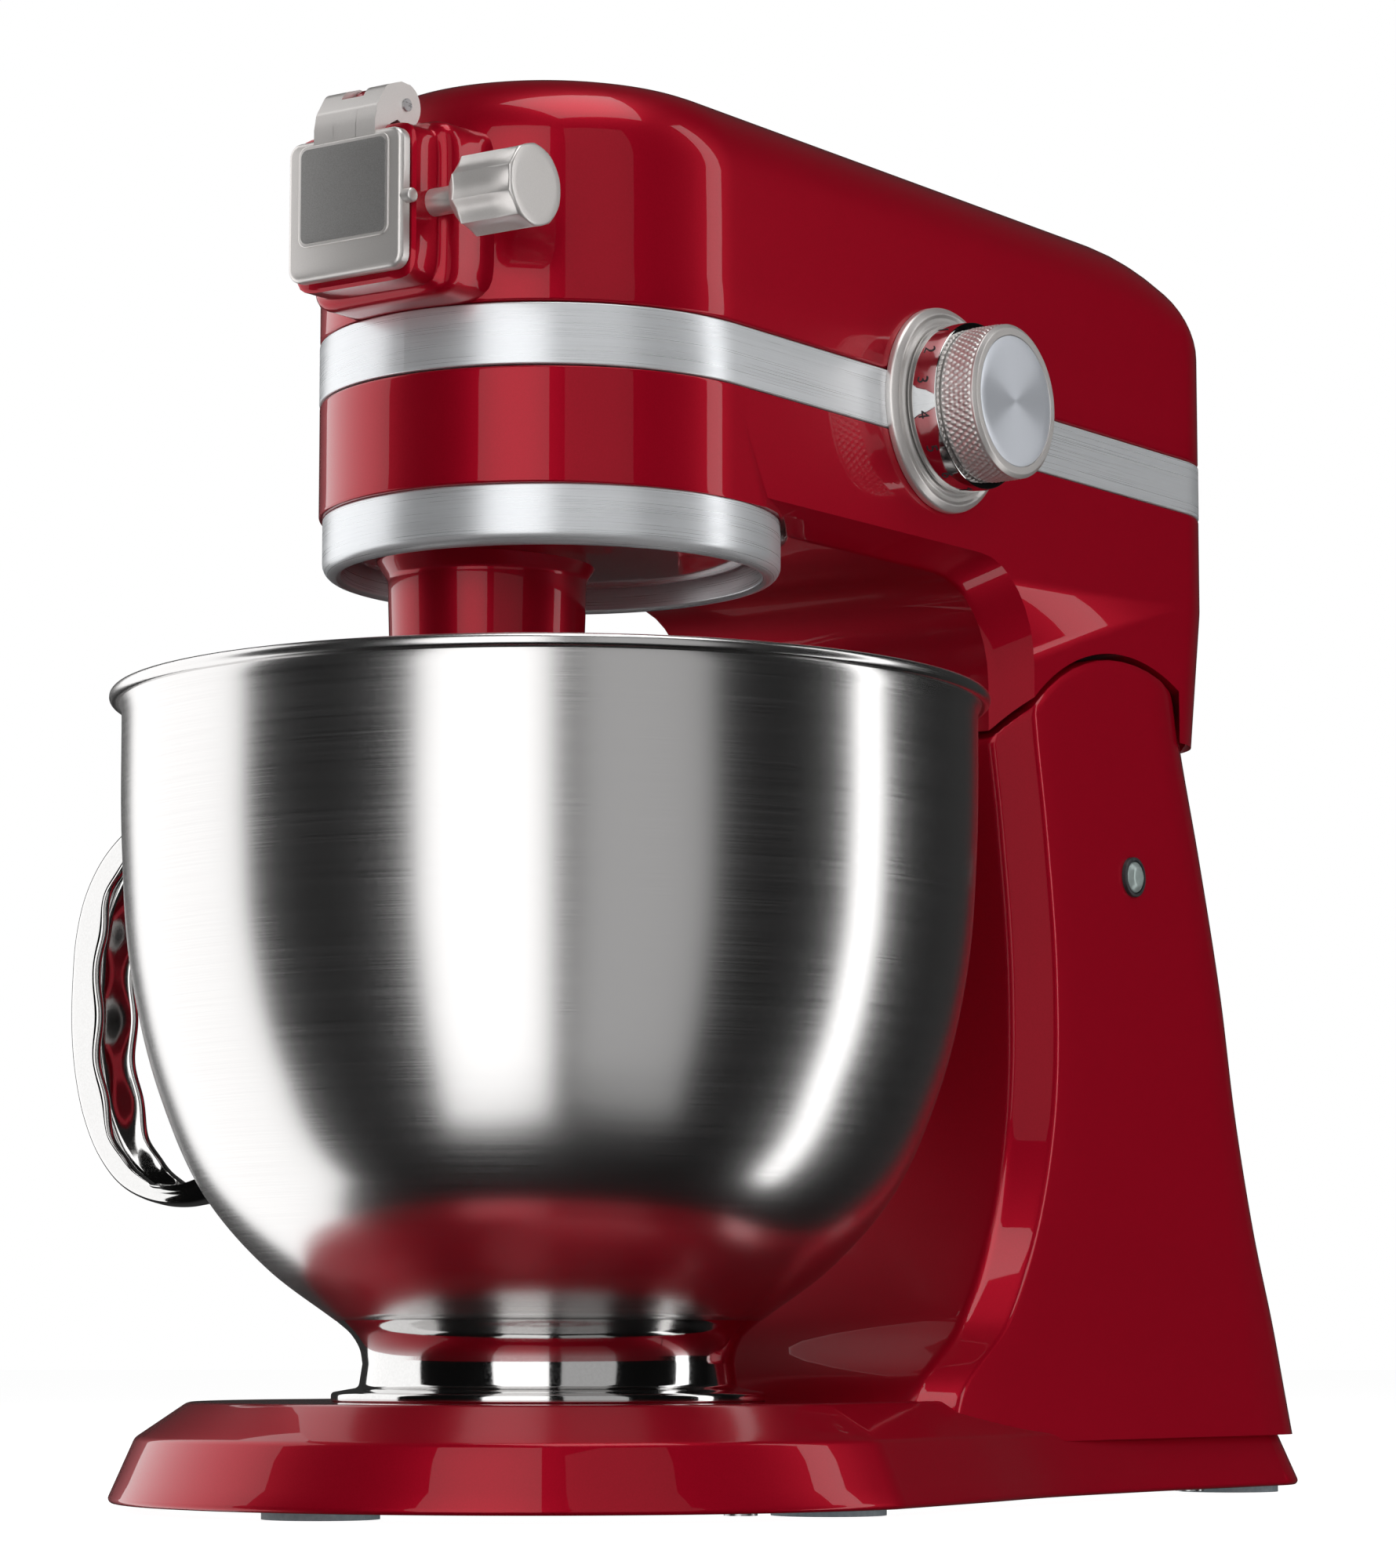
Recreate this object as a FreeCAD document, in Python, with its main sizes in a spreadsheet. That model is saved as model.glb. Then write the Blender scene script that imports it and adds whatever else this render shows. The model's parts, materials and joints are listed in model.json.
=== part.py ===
import FreeCAD, Part
import math
import os
import re
import Sketcher

# A tilt-head stand mixer. The worktop is z = 0 and the bowl's axis is x = y = 0.
# The head's nose points along -Y, and the speed dial and the release button are on the +X side.

V = FreeCAD.Vector
X, Y, Z = V(1, 0, 0), V(0, 1, 0), V(0, 0, 1)

doc = FreeCAD.newDocument("stand_mixer")
sheet = doc.addObject("Spreadsheet::Sheet", "Sizes")
subParts = []

sizes = {
    # base plate and column, one casting
    "footHeight": 2.0,
    "baseTop": 26.8,
    "baseBreak": 18.0,
    "baseFront": 108.0,
    "baseCentreY": -3.0,
    "baseRearHalf": 85.0,
    "baseRearY": 255.0,
    "baseCorner": 26.0,
    "breakInset": 7.0,
    "topInset": 20.0,
    "hollowInset": 14.0,
    "hollowShoulder": 17.0,
    "hollowTop": 22.3,
    "plateThickness": 1.5,
    "dishInset": 44.0,
    "dishDepth": 1.0,
    "footRadius": 14.0,
    "pivotY": 188.0,
    "pivotZ": 158.0,
    "neckRadius": 74.0,
    "pinRadius": 5.0,
    "pinHalfLength": 50.0,
    "bevelIn": 8.5,
    "bevelOut": 9.7,
    # head
    "headHalf": 58.7,
    "headCentreY": -1.5,
    "headRearY": 250.0,
    "headCorner": 25.0,
    "headTop": 356.0,
    "headEdge": 23.0,
    "wall": 3.0,
    "bandLow": 279.3,
    "bandHigh": 294.9,
    "floorLow": 250.0,
    "neckLow": 200.0,
    "skirtRadius": 75.5,
    "neckFrontY": 140.0,
    "neckRearY": 240.0,
    "lugHalf": 24.0,
    "armHalf": 9.0,
    "armAngle": 20.0,
    "tiltLimit": 40.0,
    # planetary and spindle
    "ringOuter": 58.7,
    "ringInner": 53.9,
    "ringLow": 235.2,
    "discRadius": 52.0,
    "discLow": 238.0,
    "discHigh": 248.0,
    "gearModule": 1.5,
    "ringTeeth": 33.0,
    "planetTeeth": 11.0,
    "spindleAngle": 215.0,
    "spindleRadius": 6.3,
    "spindleEnd": 150.0,
    "socketEndRadius": 6.0,
    "socketEndLength": 12.4,
    "crossPinZ": 164.0,
    "crossPinRadius": 1.5,
    "bossLow": 200.0,
    "bossRadius": 25.5,
    "grubZ": 228.0,
    "grubRadius": 1.7,
    "gearLow": 253.5,
    "gearHigh": 262.0,
    "framePlateLow": 264.0,
    "framePlateHigh": 270.0,
    "shaftRadius": 6.0,
    "shaftTop": 349.0,
    "running": 0.03,
    # motor and belt
    "motorY": 130.0,
    "motorRadius": 33.0,
    "rotorRadius": 20.0,
    "beltLow": 338.0,
    "beltHigh": 347.0,
    "pulleyRadius": 34.4,
    "motorPulleyRadius": 5.75,
    "beltGap": 0.25,
    "beltThickness": 1.5,
    # power hub at the front of the head
    "hubZ": 317.0,
    "hubHalf": 19.0,
    "hubFrontY": -80.0,
    "hubBackY": -38.0,
    "hubBushLength": 8.0,
    "hubLow": 297.5,
    "hubHigh": 336.5,
    "hubBore": 15.0,
    "hubBoreDepth": 11.7,
    "coverHalf": 18.0,
    "coverThickness": 3.7,
    "coverLow": 299.5,
    "coverHigh": 334.5,
    "coverPinY": -72.0,
    "coverPinZ": 343.0,
    "knuckleRadius": 5.5,
    "tabHalf": 9.7,
    "knuckleHalf": 3.2,
    "screwY": -72.7,
    "screwRadius": 3.4,
    "knobRadius": 10.3,
    "knobStart": 29.0,
    "knobEnd": 50.5,
    "bevelSize": 15.0,
    # speed dial
    "dialY": 94.0,
    "dialZ": 288.0,
    "dialRadius": 20.5,
    "dialEnd": 82.0,
    # release button
    "buttonY": 190.7,
    "buttonZ": 171.0,
    "buttonRadius": 4.5,
    # bowl
    "bowlFloor": 46.8,
    "footSeam": 53.5,
    "footNeck": 46.7,
    "flangeRadius": 54.5,
    "bowlWall": 0.9,
    "bowlRimR": 110.4,
    "bowlRimZ": 203.3,
    "beadRadius": 1.7,
    "handleTurn": 5.5,
    "handleHalfWidth": 15.0,
}

for row, (alias, number) in enumerate(sizes.items(), start=1):
    sheet.set("A%d" % row, alias)
    sheet.set("B%d" % row, str(number))
    sheet.setAlias("B%d" % row, alias)
doc.recompute()


def size(alias):
    return float(sheet.get(alias))


def bound(text):
    """An expression with each alias of the sheet written as Sizes.alias."""
    return re.sub(r"[A-Za-z]\w*", lambda word: "Sizes." + word.group(), text)


def value(text):
    return float(sheet.evalExpression(text))


def keep(part, label):
    part.Label = label
    subParts.append(part)
    return part


def along(direction, base=V(0, 0, 0)):
    """Placement that turns local +Z to the given direction."""
    return FreeCAD.Placement(base, FreeCAD.Rotation(Z, direction))


def solidFeature(label, shape, base=V(0, 0, 0)):
    part = doc.addObject("Part::Feature", label)
    part.Shape = shape
    part.Placement = FreeCAD.Placement(base, FreeCAD.Rotation()).multiply(shape.Placement)
    return keep(part, label)


# ---- sketches whose corners are bound to the sheet ----


def profileSketch(body, plane, corners):
    """Closed outline of straight edges; each corner is a pair of expressions."""
    sketch = body.newObject("Sketcher::SketchObject", body.Name + "_profile")
    origin = [f for f in body.Origin.OriginFeatures if f.Role == plane][0]
    sketch.AttachmentSupport = [(origin, "")]
    sketch.MapMode = "FlatFace"
    places = [V(value(a), value(b), 0) for a, b in corners]
    count = len(places)
    for i in range(count):
        sketch.addGeometry(Part.LineSegment(places[i], places[(i + 1) % count]), False)
    for i in range(count):
        sketch.addConstraint(Sketcher.Constraint("Coincident", i, 2, (i + 1) % count, 1))
    for i, (a, b) in enumerate(corners):
        pair = (("DistanceX", a, places[i].x, -2), ("DistanceY", b, places[i].y, -1))
        for kind, text, place, axis in pair:
            if abs(place) < 1e-9:
                sketch.addConstraint(Sketcher.Constraint("PointOnObject", i, 1, axis))
            else:
                index = sketch.addConstraint(Sketcher.Constraint(kind, -1, 1, i, 1, place))
                sketch.setExpression("Constraints[%d]" % index, bound(text))
    return sketch


def turned(label, corners, place=FreeCAD.Placement()):
    """Lathe-turned piece: corners are (radius, height) about the body's own Z."""
    body = doc.addObject("PartDesign::Body", label)
    sketch = profileSketch(body, "XZ_Plane", corners)
    feature = body.newObject("PartDesign::Revolution", label + "_turn")
    feature.Profile = sketch
    feature.ReferenceAxis = (sketch, ["V_Axis"])
    feature.Angle = 360
    body.Placement = place
    return keep(body, label)


def padded(label, corners, length, place=FreeCAD.Placement()):
    """Plate or bar: an outline in XY, padded along Z by an expression."""
    body = doc.addObject("PartDesign::Body", label)
    sketch = profileSketch(body, "XY_Plane", corners)
    feature = body.newObject("PartDesign::Pad", label + "_pad")
    feature.Profile = sketch
    feature.setExpression("Length", bound(length))
    body.Placement = place
    return keep(body, label)


def fluted(body, count, offset, radius, depth):
    """Round grooves cut along a turned piece and repeated about its axis."""
    sketch = body.newObject("Sketcher::SketchObject", body.Name + "_flute")
    origin = [f for f in body.Origin.OriginFeatures if f.Role == "XY_Plane"][0]
    sketch.AttachmentSupport = [(origin, "")]
    sketch.MapMode = "FlatFace"
    sketch.addGeometry(Part.Circle(V(value(offset), 0, 0), Z, value(radius)), False)
    sketch.addConstraint(Sketcher.Constraint("PointOnObject", 0, 3, -1))
    far = sketch.addConstraint(Sketcher.Constraint("DistanceX", -1, 1, 0, 3, value(offset)))
    sketch.setExpression("Constraints[%d]" % far, bound(offset))
    across = sketch.addConstraint(Sketcher.Constraint("Radius", 0, value(radius)))
    sketch.setExpression("Constraints[%d]" % across, bound(radius))
    doc.recompute()
    before = body.Shape.Volume
    pocket = body.newObject("PartDesign::Pocket", body.Name + "_cut")
    pocket.Profile = sketch
    pocket.Reversed = True
    pocket.setExpression("Length", bound(depth))
    doc.recompute()
    pattern = body.newObject("PartDesign::PolarPattern", body.Name + "_around")
    pattern.Originals = [pocket]
    pattern.Axis = (sketch, ["N_Axis"])
    pattern.Angle = 360
    pattern.Occurrences = count
    body.Tip = pattern
    doc.recompute()
    if body.Shape.Volume > before * 0.999:
        raise RuntimeError(body.Label + ": the flutes cut nothing")


def cylinders(label, radius, height, places):
    """One node of equal round pieces, each a bound cylinder."""
    pieces = []
    for place in places:
        piece = doc.addObject("Part::Cylinder", label + "_piece")
        piece.setExpression("Radius", bound(radius))
        piece.setExpression("Height", bound(height))
        piece.Placement = place
        pieces.append(piece)
    if len(pieces) == 1:
        return keep(pieces[0], label)
    group = doc.addObject("Part::Compound", label)
    group.Links = pieces
    return keep(group, label)


# ---- outlines shared by several pieces ----


def mirrored(edge):
    return edge.mirror(V(0, 0, 0), X)


def closedFace(edges):
    return Part.Face(Part.Wire(Part.__sortEdges__(edges)))


def arcThrough(start, middle, end):
    return Part.Arc(start, middle, end).toShape()


def baseOutline(inset, z):
    """Base seen from above: a round front, sides that draw in, and round rear corners."""
    half = size("baseRearHalf") - inset
    front = size("baseFront") - inset
    centre = size("baseCentreY")
    rear = size("baseRearY") - inset
    corner = max(size("baseCorner") - inset, 4.0)
    draw = front - half
    side = Part.BSplineCurve()
    side.interpolate(
        Points=[
            V(front, centre, z),
            V(half + 0.56 * draw, 56, z),
            V(half + 0.22 * draw, 97, z),
            V(half + 0.05 * draw, 145, z),
            V(half, rear - corner, z),
        ],
        Tangents=[V(0, 60, 0), V(-12, 45, 0), V(-8, 45, 0), V(-2, 45, 0), V(0, 60, 0)],
        TangentFlags=[True, False, False, False, True],
    )
    bend = corner * (1 - math.sqrt(0.5))
    turn = arcThrough(V(half, rear - corner, z), V(half - bend, rear - bend, z), V(half - corner, rear, z))
    edges = [arcThrough(V(front, centre, z), V(0, centre - front, z), V(-front, centre, z))]
    edges += [side.toShape(), mirrored(side.toShape()), turn, mirrored(turn)]
    edges += [Part.makeLine(V(half - corner, rear, z), V(corner - half, rear, z))]
    return Part.Wire(Part.__sortEdges__(edges))


def headOutline(inset, z, rear=None):
    """Head seen from above: a half-round nose, straight sides and round rear corners."""
    half = size("headHalf") - inset
    centre = size("headCentreY")
    rear = size("headRearY") - inset if rear is None else rear
    corner = size("headCorner") - inset
    bend = corner * (1 - math.sqrt(0.5))
    turn = arcThrough(V(half, rear - corner, z), V(half - bend, rear - bend, z), V(half - corner, rear, z))
    side = Part.makeLine(V(half, centre, z), V(half, rear - corner, z))
    edges = [arcThrough(V(half, centre, z), V(0, centre - half, z), V(-half, centre, z))]
    edges += [side, mirrored(side), turn, mirrored(turn)]
    edges += [Part.makeLine(V(half - corner, rear, z), V(corner - half, rear, z))]
    return Part.Face(Part.Wire(Part.__sortEdges__(edges)))


def headPrism(inset, low, high):
    return headOutline(inset, low).extrude(V(0, 0, high - low))


def sideways(points, half):
    """A shape drawn as (y, z) corners and extruded evenly about x = 0."""
    corners = [V(-half, y, z) for y, z in points]
    return Part.Face(Part.makePolygon(corners + corners[:1])).extrude(V(2 * half, 0, 0))


def rod(radius, length, base, direction=Z):
    return Part.makeCylinder(radius, length, base, direction)


def block(x0, x1, y0, y1, z0, z1):
    return Part.makeBox(x1 - x0, y1 - y0, z1 - z0, V(x0, y0, z0))


pivot = V(0, size("pivotY"), size("pivotZ"))
spindleOffset = size("gearModule") * (size("ringTeeth") - size("planetTeeth")) / 2
spindleTurn = math.radians(size("spindleAngle"))
spindle = V(spindleOffset * math.cos(spindleTurn), spindleOffset * math.sin(spindleTurn), 0)


def pivotDrum(radius, half):
    return rod(radius, 2 * half, pivot - X * half, X)


def tiltArm(gap, length, lean):
    """The head's arm from the pivot, leaning forward by a number of degrees, with a gap all round."""
    turn = math.radians(lean)
    up = V(0, -math.sin(turn), math.cos(turn))
    out = V(0, -math.cos(turn), -math.sin(turn)) * (size("armHalf") + gap)
    ends = [pivot + out, pivot + out + up * length, pivot - out + up * length, pivot - out]
    return sideways([(p.y, p.z) for p in ends], size("lugHalf") + gap)


# ---- the stand ----

underplateScrewPlaces = [V(-80, -30, 0), V(80, -30, 0), V(-67, 205, 0), V(67, 205, 0)]
footPlaces = [V(0, -88, 0), V(-82, 4, 0), V(82, 4, 0), V(-64, 232, 0), V(64, 232, 0)]


def columnSection(z, crease, half, rear, corner):
    """One level of the column: bevelled at the front from the crease, and round at the rear."""
    bend = corner * (1 - math.sqrt(0.5))
    inner, front = half - size("bevelIn"), crease - size("bevelOut")
    right = Part.makeLine(V(half, crease, z), V(half, rear - corner, z))
    back = arcThrough(V(half, rear - corner, z), V(half - bend, rear - bend, z), V(half - corner, rear, z))
    fore = Part.makeLine(V(half, crease, z), V(inner, front, z))
    edges = [right, back, fore, mirrored(right), mirrored(back), mirrored(fore)]
    edges += [Part.makeLine(V(half - corner, rear, z), V(corner - half, rear, z))]
    edges += [Part.makeLine(V(inner, front, z), V(-inner, front, z))]
    return Part.Wire(Part.__sortEdges__(edges))


glandPlace = V(0, 241.5, 62)


def makeCasting():
    low, top = size("footHeight"), size("baseTop")
    levels = [(0, low), (size("breakInset"), size("baseBreak")), (size("topInset"), top)]
    plate = Part.makeLoft([baseOutline(inset, z) for inset, z in levels], True, True)
    # level, front crease, half width, rear and corner radius: a concave sweep from the plate to the neck
    rear = size("baseRearY")
    column = [
        (low + 2, 60, 82, rear - 2, 20),
        (25, 66, 80, rear - 3, 18),
        (48, 101, 74, rear - 2, 14),
        (73, 125, 68, rear - 3, 12),
        (107, 143, 62.5, rear - 4, 12),
        (140, 148, 60, rear - 6, 14),
        (180, 145, 59, rear - 13, 18),
        (212, 140, size("headHalf"), rear - 20, 22),
        (240, 138, size("headHalf"), rear - 27, 22),
    ]
    casting = plate.fuse(Part.makeLoft([columnSection(*level) for level in column], True, False))
    # round top, concentric with the tilt pivot
    above = block(-90, 90, 100, 280, 190, 260)
    casting = casting.cut(above.cut(pivotDrum(size("neckRadius"), 90)))
    # hollow underneath and up inside the column, with walls of about 5 mm
    inset, shoulder, ceiling = size("hollowInset"), size("hollowShoulder"), size("hollowTop")
    hollow = Part.Face(baseOutline(inset, 0)).extrude(V(0, 0, shoulder))
    upper = Part.Face(baseOutline(inset + 10, shoulder - 1)).extrude(V(0, 0, ceiling - shoulder + 1))
    inside = [
        (shoulder - 1, 70, 70, rear - 12, 10),
        (30, 84, 69, rear - 10, 10),
        (48, 110, 66, rear - 9, 10),
        (73, 134, 61, rear - 9, 10),
        (107, 152, 56, rear - 10, 10),
        (130, 156, 54, rear - 11, 10),
    ]
    column = Part.makeLoft([columnSection(*level) for level in inside], True, True)
    casting = casting.cut(hollow.fuse(upper)).cut(column)
    for place in underplateScrewPlaces:
        boss = rod(5, top - 3 - low, place + Z * (low + size("plateThickness")))
        casting = casting.fuse(boss)
        casting = casting.cut(rod(2, 14, place + Z * low))
    # room for the head's arm over its whole travel
    lean, limit = size("armAngle"), size("tiltLimit")
    room = pivotDrum(17, size("lugHalf") + 1.5)
    forward = [tiltArm(1.5, 96, lean - limit * step / 4) for step in range(5)]
    for piece in forward:
        room = room.fuse(piece)
    turn = math.radians(lean)
    wedge = [(pivot.y, pivot.z)]
    for angle in (-turn, 0.0, math.radians(limit) - turn):
        wedge.append((pivot.y + 96 * math.sin(angle), pivot.z + 96 * math.cos(angle)))
    room = room.fuse(sideways(wedge, size("lugHalf") + 1.5))
    casting = casting.cut(room)
    # bores of the power lead's gland, the pivot pin and the release button
    casting = casting.cut(rod(6, 20, glandPlace, Y)).cut(rod(9.5, 20, glandPlace + Y * 10, Y))
    half = size("pinHalfLength")
    casting = casting.cut(pivotDrum(size("pinRadius"), half))
    return casting.cut(buttonPocket()).removeSplitter()


def buttonPocket():
    """Stepped hole for the button's cap and its rod."""
    centre = V(0, size("buttonY"), size("buttonZ"))
    guide = rod(1.55, 20, centre + X * 24, X)
    return rod(size("buttonRadius") + 0.2, 30, centre + X * 40, X).fuse(guide)


def makeUnderplate():
    low, thick, dish = size("footHeight"), size("plateThickness"), size("dishDepth")
    plate = Part.Face(baseOutline(size("hollowInset"), low)).extrude(V(0, 0, thick))
    pressed = Part.Face(baseOutline(size("dishInset"), low - dish)).extrude(V(0, 0, thick))
    room = Part.Face(baseOutline(size("dishInset") + thick, low + thick - dish)).extrude(V(0, 0, thick))
    plate = plate.fuse(pressed).cut(room)
    for place in underplateScrewPlaces:
        plate = plate.cut(rod(2, 10, place))
    return plate


def makeUnderplateScrews():
    low = size("footHeight")
    screws = []
    for place in underplateScrewPlaces:
        head = rod(4, 1.2, place + Z * (low - 1.2))
        screws.append(head.fuse(rod(2, 11, place + Z * low)))
    return Part.makeCompound(screws)


solidFeature("stand_casting", makeCasting())
solidFeature("base_underplate", makeUnderplate())
solidFeature("underplate_screws", makeUnderplateScrews())
footSpots = [FreeCAD.Placement(p, FreeCAD.Rotation()) for p in footPlaces]
cylinders("rubber_feet", "footRadius", "footHeight", footSpots)
turned(
    "bowl_seat_plate",
    [("14", "baseTop"), ("42", "baseTop"), ("42", "baseTop+3"), ("40", "baseTop+4"), ("14", "baseTop+4")],
)
seatScrews = []
for angle in (30, 150, 270):
    spot = V(28 * math.cos(math.radians(angle)), 28 * math.sin(math.radians(angle)), size("baseTop") + 4)
    seatScrews.append(FreeCAD.Placement(spot, FreeCAD.Rotation()))
cylinders("seat_screws", "3.2", "1.6", seatScrews)
cylinders("hinge_pin", "pinRadius", "2*pinHalfLength", [along(X, pivot - X * size("pinHalfLength"))])
turned(
    "cable_gland",
    [("3.2", "0"), ("6", "0"), ("6", "10"), ("9.5", "10"), ("9.5", "13"), ("7", "18"), ("3.2", "18")],
    along(Y, glandPlace),
)
spring = Part.makeHelix(1.6, 10.8, 2.2)
springWire = Part.Wire(Part.Circle(V(2.2, 0, 0), Y, 0.3).toShape())
springShape = Part.Wire(spring).makePipeShell([springWire], True, True)
springPart = doc.addObject("Part::Feature", "button_spring")
springPart.Shape = springShape
springPart.Placement = along(X, V(40.6, size("buttonY"), size("buttonZ")))
keep(springPart, "button_spring")

# ---- release button ----

turned(
    "release_button",
    [("0", "52.5"), ("buttonRadius", "52.5"), ("buttonRadius", "60.5"), ("buttonRadius-1", "61.5"),
     ("0", "61.5")],
    along(X, V(0, size("buttonY"), size("buttonZ"))),
)
cylinders("release_rod", "1.5", "23.5", [along(X, V(29, size("buttonY"), size("buttonZ")))])

# ---- the head's shells ----


def hubNose(gap):
    """Box of the power hub, which the upper shell is cut away for."""
    half = size("hubHalf") + gap
    nose = block(-half, half, size("hubFrontY"), size("hubBackY"),
                 size("hubLow") - gap, size("hubHigh") + gap)
    long = [e for e in nose.Edges if abs(e.tangentAt(e.FirstParameter).y) > 0.99]
    return nose.makeFillet(4, long)


def roundedTop(shape, radius, top):
    edges = [e for e in shape.Edges if e.BoundBox.ZMin > top - 0.01]
    return shape.makeFillet(radius, edges)


def makeUpperShell():
    low, top, wall, edge = size("bandHigh"), size("headTop"), size("wall"), size("headEdge")
    outer = roundedTop(headPrism(0, low, top), edge, top)
    inner = roundedTop(headPrism(wall, low - 1, top - wall), edge - wall, top - wall)
    return outer.cut(inner).cut(hubNose(0))


def neckBlock(inset, bottom):
    """The part of the lower shell that comes down over the column's top."""
    front, rear = size("neckFrontY") + inset, size("neckRearY") - inset
    half = size("headHalf") - inset
    nearer, inner = front - size("bevelOut"), half - size("bevelIn")
    outline = [V(x, y, bottom)
               for x, y in ((half, front), (inner, nearer), (-inner, nearer), (-half, front))]
    outline = [V(-half, rear, bottom), V(half, rear, bottom)] + outline
    neck = Part.Face(Part.makePolygon(outline + outline[:1])).extrude(
        V(0, 0, size("floorLow") + 20 - bottom))
    upright = [e for e in neck.Edges if abs(e.tangentAt(e.FirstParameter).z) > 0.99]
    behind = [e for e in upright if e.BoundBox.YMin > rear - 1]
    return neck.makeFillet(max(20 - inset, 4), behind)


def makeLowerShell():
    floor, high, wall = size("floorLow"), size("bandLow"), size("wall")
    outer = headPrism(0, floor, high).fuse(neckBlock(0, size("neckLow")))
    inner = headPrism(wall, floor + wall, high + 1).fuse(neckBlock(wall, size("neckLow") - 5))
    inner = inner.cut(pivotDrum(size("skirtRadius") + wall, 70))
    shell = outer.cut(inner).cut(pivotDrum(size("skirtRadius"), 70))
    shell = shell.cut(rod(size("ringInner"), 20, V(0, 0, floor - 5)))
    return shell.cut(tiltArm(1.5, 120, size("armAngle"))).removeSplitter()


def makeBand():
    low, high, wall = size("bandLow"), size("bandHigh"), size("wall")
    band = headPrism(0, low, high).cut(headPrism(wall, low - 1, high + 1))
    return band.cut(rod(4, 40, V(40, size("dialY"), size("dialZ")), X))


solidFeature("head_upper_shell", makeUpperShell())
solidFeature("head_lower_shell", makeLowerShell())
solidFeature("trim_band", makeBand())
turned(
    "planetary_ring",
    [
        ("ringInner", "ringLow"),
        ("ringOuter-2", "ringLow"),
        ("ringOuter", "ringLow+2"),
        ("ringOuter", "floorLow"),
        ("ringInner", "floorLow"),
    ],
)

# ---- gears ----


def toothWire(teeth, module, inward, z):
    """Straight-sided teeth, thinner than half the pitch to leave backlash."""
    pitch = teeth * module / 2
    tip = pitch - 0.7 * module if inward else pitch + 0.7 * module
    root = pitch + 1.25 * module if inward else pitch - 1.25 * module
    step = 2 * math.pi / teeth
    tipHalf, rootHalf = 0.4 * module / tip, 0.85 * module / root
    points = []
    for i in range(teeth):
        middle = i * step + (step / 2 if inward else 0)
        for radius, angle in ((root, -rootHalf), (tip, -tipHalf), (tip, tipHalf), (root, rootHalf)):
            points.append(V(radius * math.cos(middle + angle), radius * math.sin(middle + angle), z))
    return Part.makePolygon(points + points[:1])


def makeRingGear():
    teeth, module = int(size("ringTeeth")), size("gearModule")
    low, high = size("gearLow") - 0.5, size("framePlateLow")
    wire = toothWire(teeth, module, True, low)
    inner = Part.Face(wire).extrude(V(0, 0, high - low))
    inner.rotate(V(0, 0, 0), Z, size("spindleAngle"))
    return rod(40, high - low, V(0, 0, low)).cut(inner)


def makePlanetGear():
    teeth, module = int(size("planetTeeth")), size("gearModule")
    low, high = size("gearLow"), size("gearHigh")
    gear = Part.Face(toothWire(teeth, module, False, low)).extrude(V(0, 0, high - low))
    gear = gear.cut(rod(size("spindleRadius") - 1.8, 20, V(0, 0, low - 5)))
    gear.rotate(V(0, 0, 0), Z, size("spindleAngle"))
    return gear.translated(spindle)


# ---- the head's frame, bearings and motor ----


def makeGearFrame():
    low, high = size("framePlateLow"), size("framePlateHigh")
    plate = block(-50, 50, -40, 172, low, high)
    for x, y, radius in ((-50, -40, 20), (50, -40, 20)):
        corner = block(min(x, 0), max(x, 0), y, 0, low, high)
        upright = [e for e in corner.Edges if e.BoundBox.ZLength > 5 and abs(e.CenterOfMass.x - x) < 1
                   and abs(e.CenterOfMass.y - y) < 1]
        square = block(min(x, 0), max(x, 0), y, 0, low, high)
        plate = plate.cut(square.cut(corner.makeFillet(radius, upright)))
    frame = plate.fuse(rod(17, 288 - low, V(0, 0, low)))
    arm = tiltArm(0, 112, size("armAngle")).cut(block(-80, 80, 90, 260, high, 400))
    frame = frame.fuse(arm).fuse(pivotDrum(15, size("lugHalf")))
    frame = frame.cut(rod(11, 60, V(0, 0, low - 10))).cut(pivotDrum(8, size("lugHalf") + 5))
    return frame.removeSplitter()


def makeBearings():
    shapes = []
    for level in (266, 277):
        ring = rod(11, 9, V(0, 0, level)).cut(rod(size("shaftRadius") + size("running"), 9, V(0, 0, level)))
        shapes.append(ring)
    return Part.makeCompound(shapes)


def makeHingeBushes():
    shapes = []
    for start in (-size("lugHalf"), size("lugHalf") - 12):
        base = V(start, pivot.y, pivot.z)
        bush = rod(8, 12, base, X).cut(rod(size("pinRadius") + size("running"), 12, base, X))
        shapes.append(bush)
    return Part.makeCompound(shapes)


def makeEndCaps():
    motor = V(0, size("motorY"), 0)
    caps = []
    for level in (size("framePlateHigh"), 318):
        cap = rod(size("motorRadius"), 6, motor + Z * level)
        caps.append(cap.cut(rod(4 + size("running"), 6, motor + Z * level)))
    return Part.makeCompound(caps)


def makeStator():
    motor = V(0, size("motorY"), 276)
    stator = rod(size("motorRadius"), 42, motor).cut(rod(size("rotorRadius") + 0.5, 42, motor))
    for side in (-1, 1):
        flat = block(side * 31 - 4, side * 31 + 4, size("motorY") - 40, size("motorY") + 40, 275, 320)
        stator = stator.cut(flat)
    return stator


def makeRotorCore():
    motor = V(0, size("motorY"), 280)
    core = rod(size("rotorRadius"), 34, motor).cut(rod(4, 34, motor))
    for i in range(12):
        turn = math.radians(30 * i)
        slot = V(19.4 * math.cos(turn), size("motorY") + 19.4 * math.sin(turn), 279)
        core = core.cut(rod(1.4, 36, slot))
    return core


def makeFan():
    """Hub and eight leaning blades that draw air through the motor."""
    motor = V(0, size("motorY"), 325)
    fan = rod(7, 8, motor)
    for i in range(8):
        blade = block(0, 26, -0.8, 0.8, 0, 7)
        blade.rotate(V(0, 0, 0), X, 25)
        blade.rotate(V(0, 0, 0), Z, 45 * i)
        fan = fan.fuse(blade.translated(motor + Z * 0.6))
    return fan.cut(rod(4, 20, motor - Z * 2)).removeSplitter()


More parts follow.
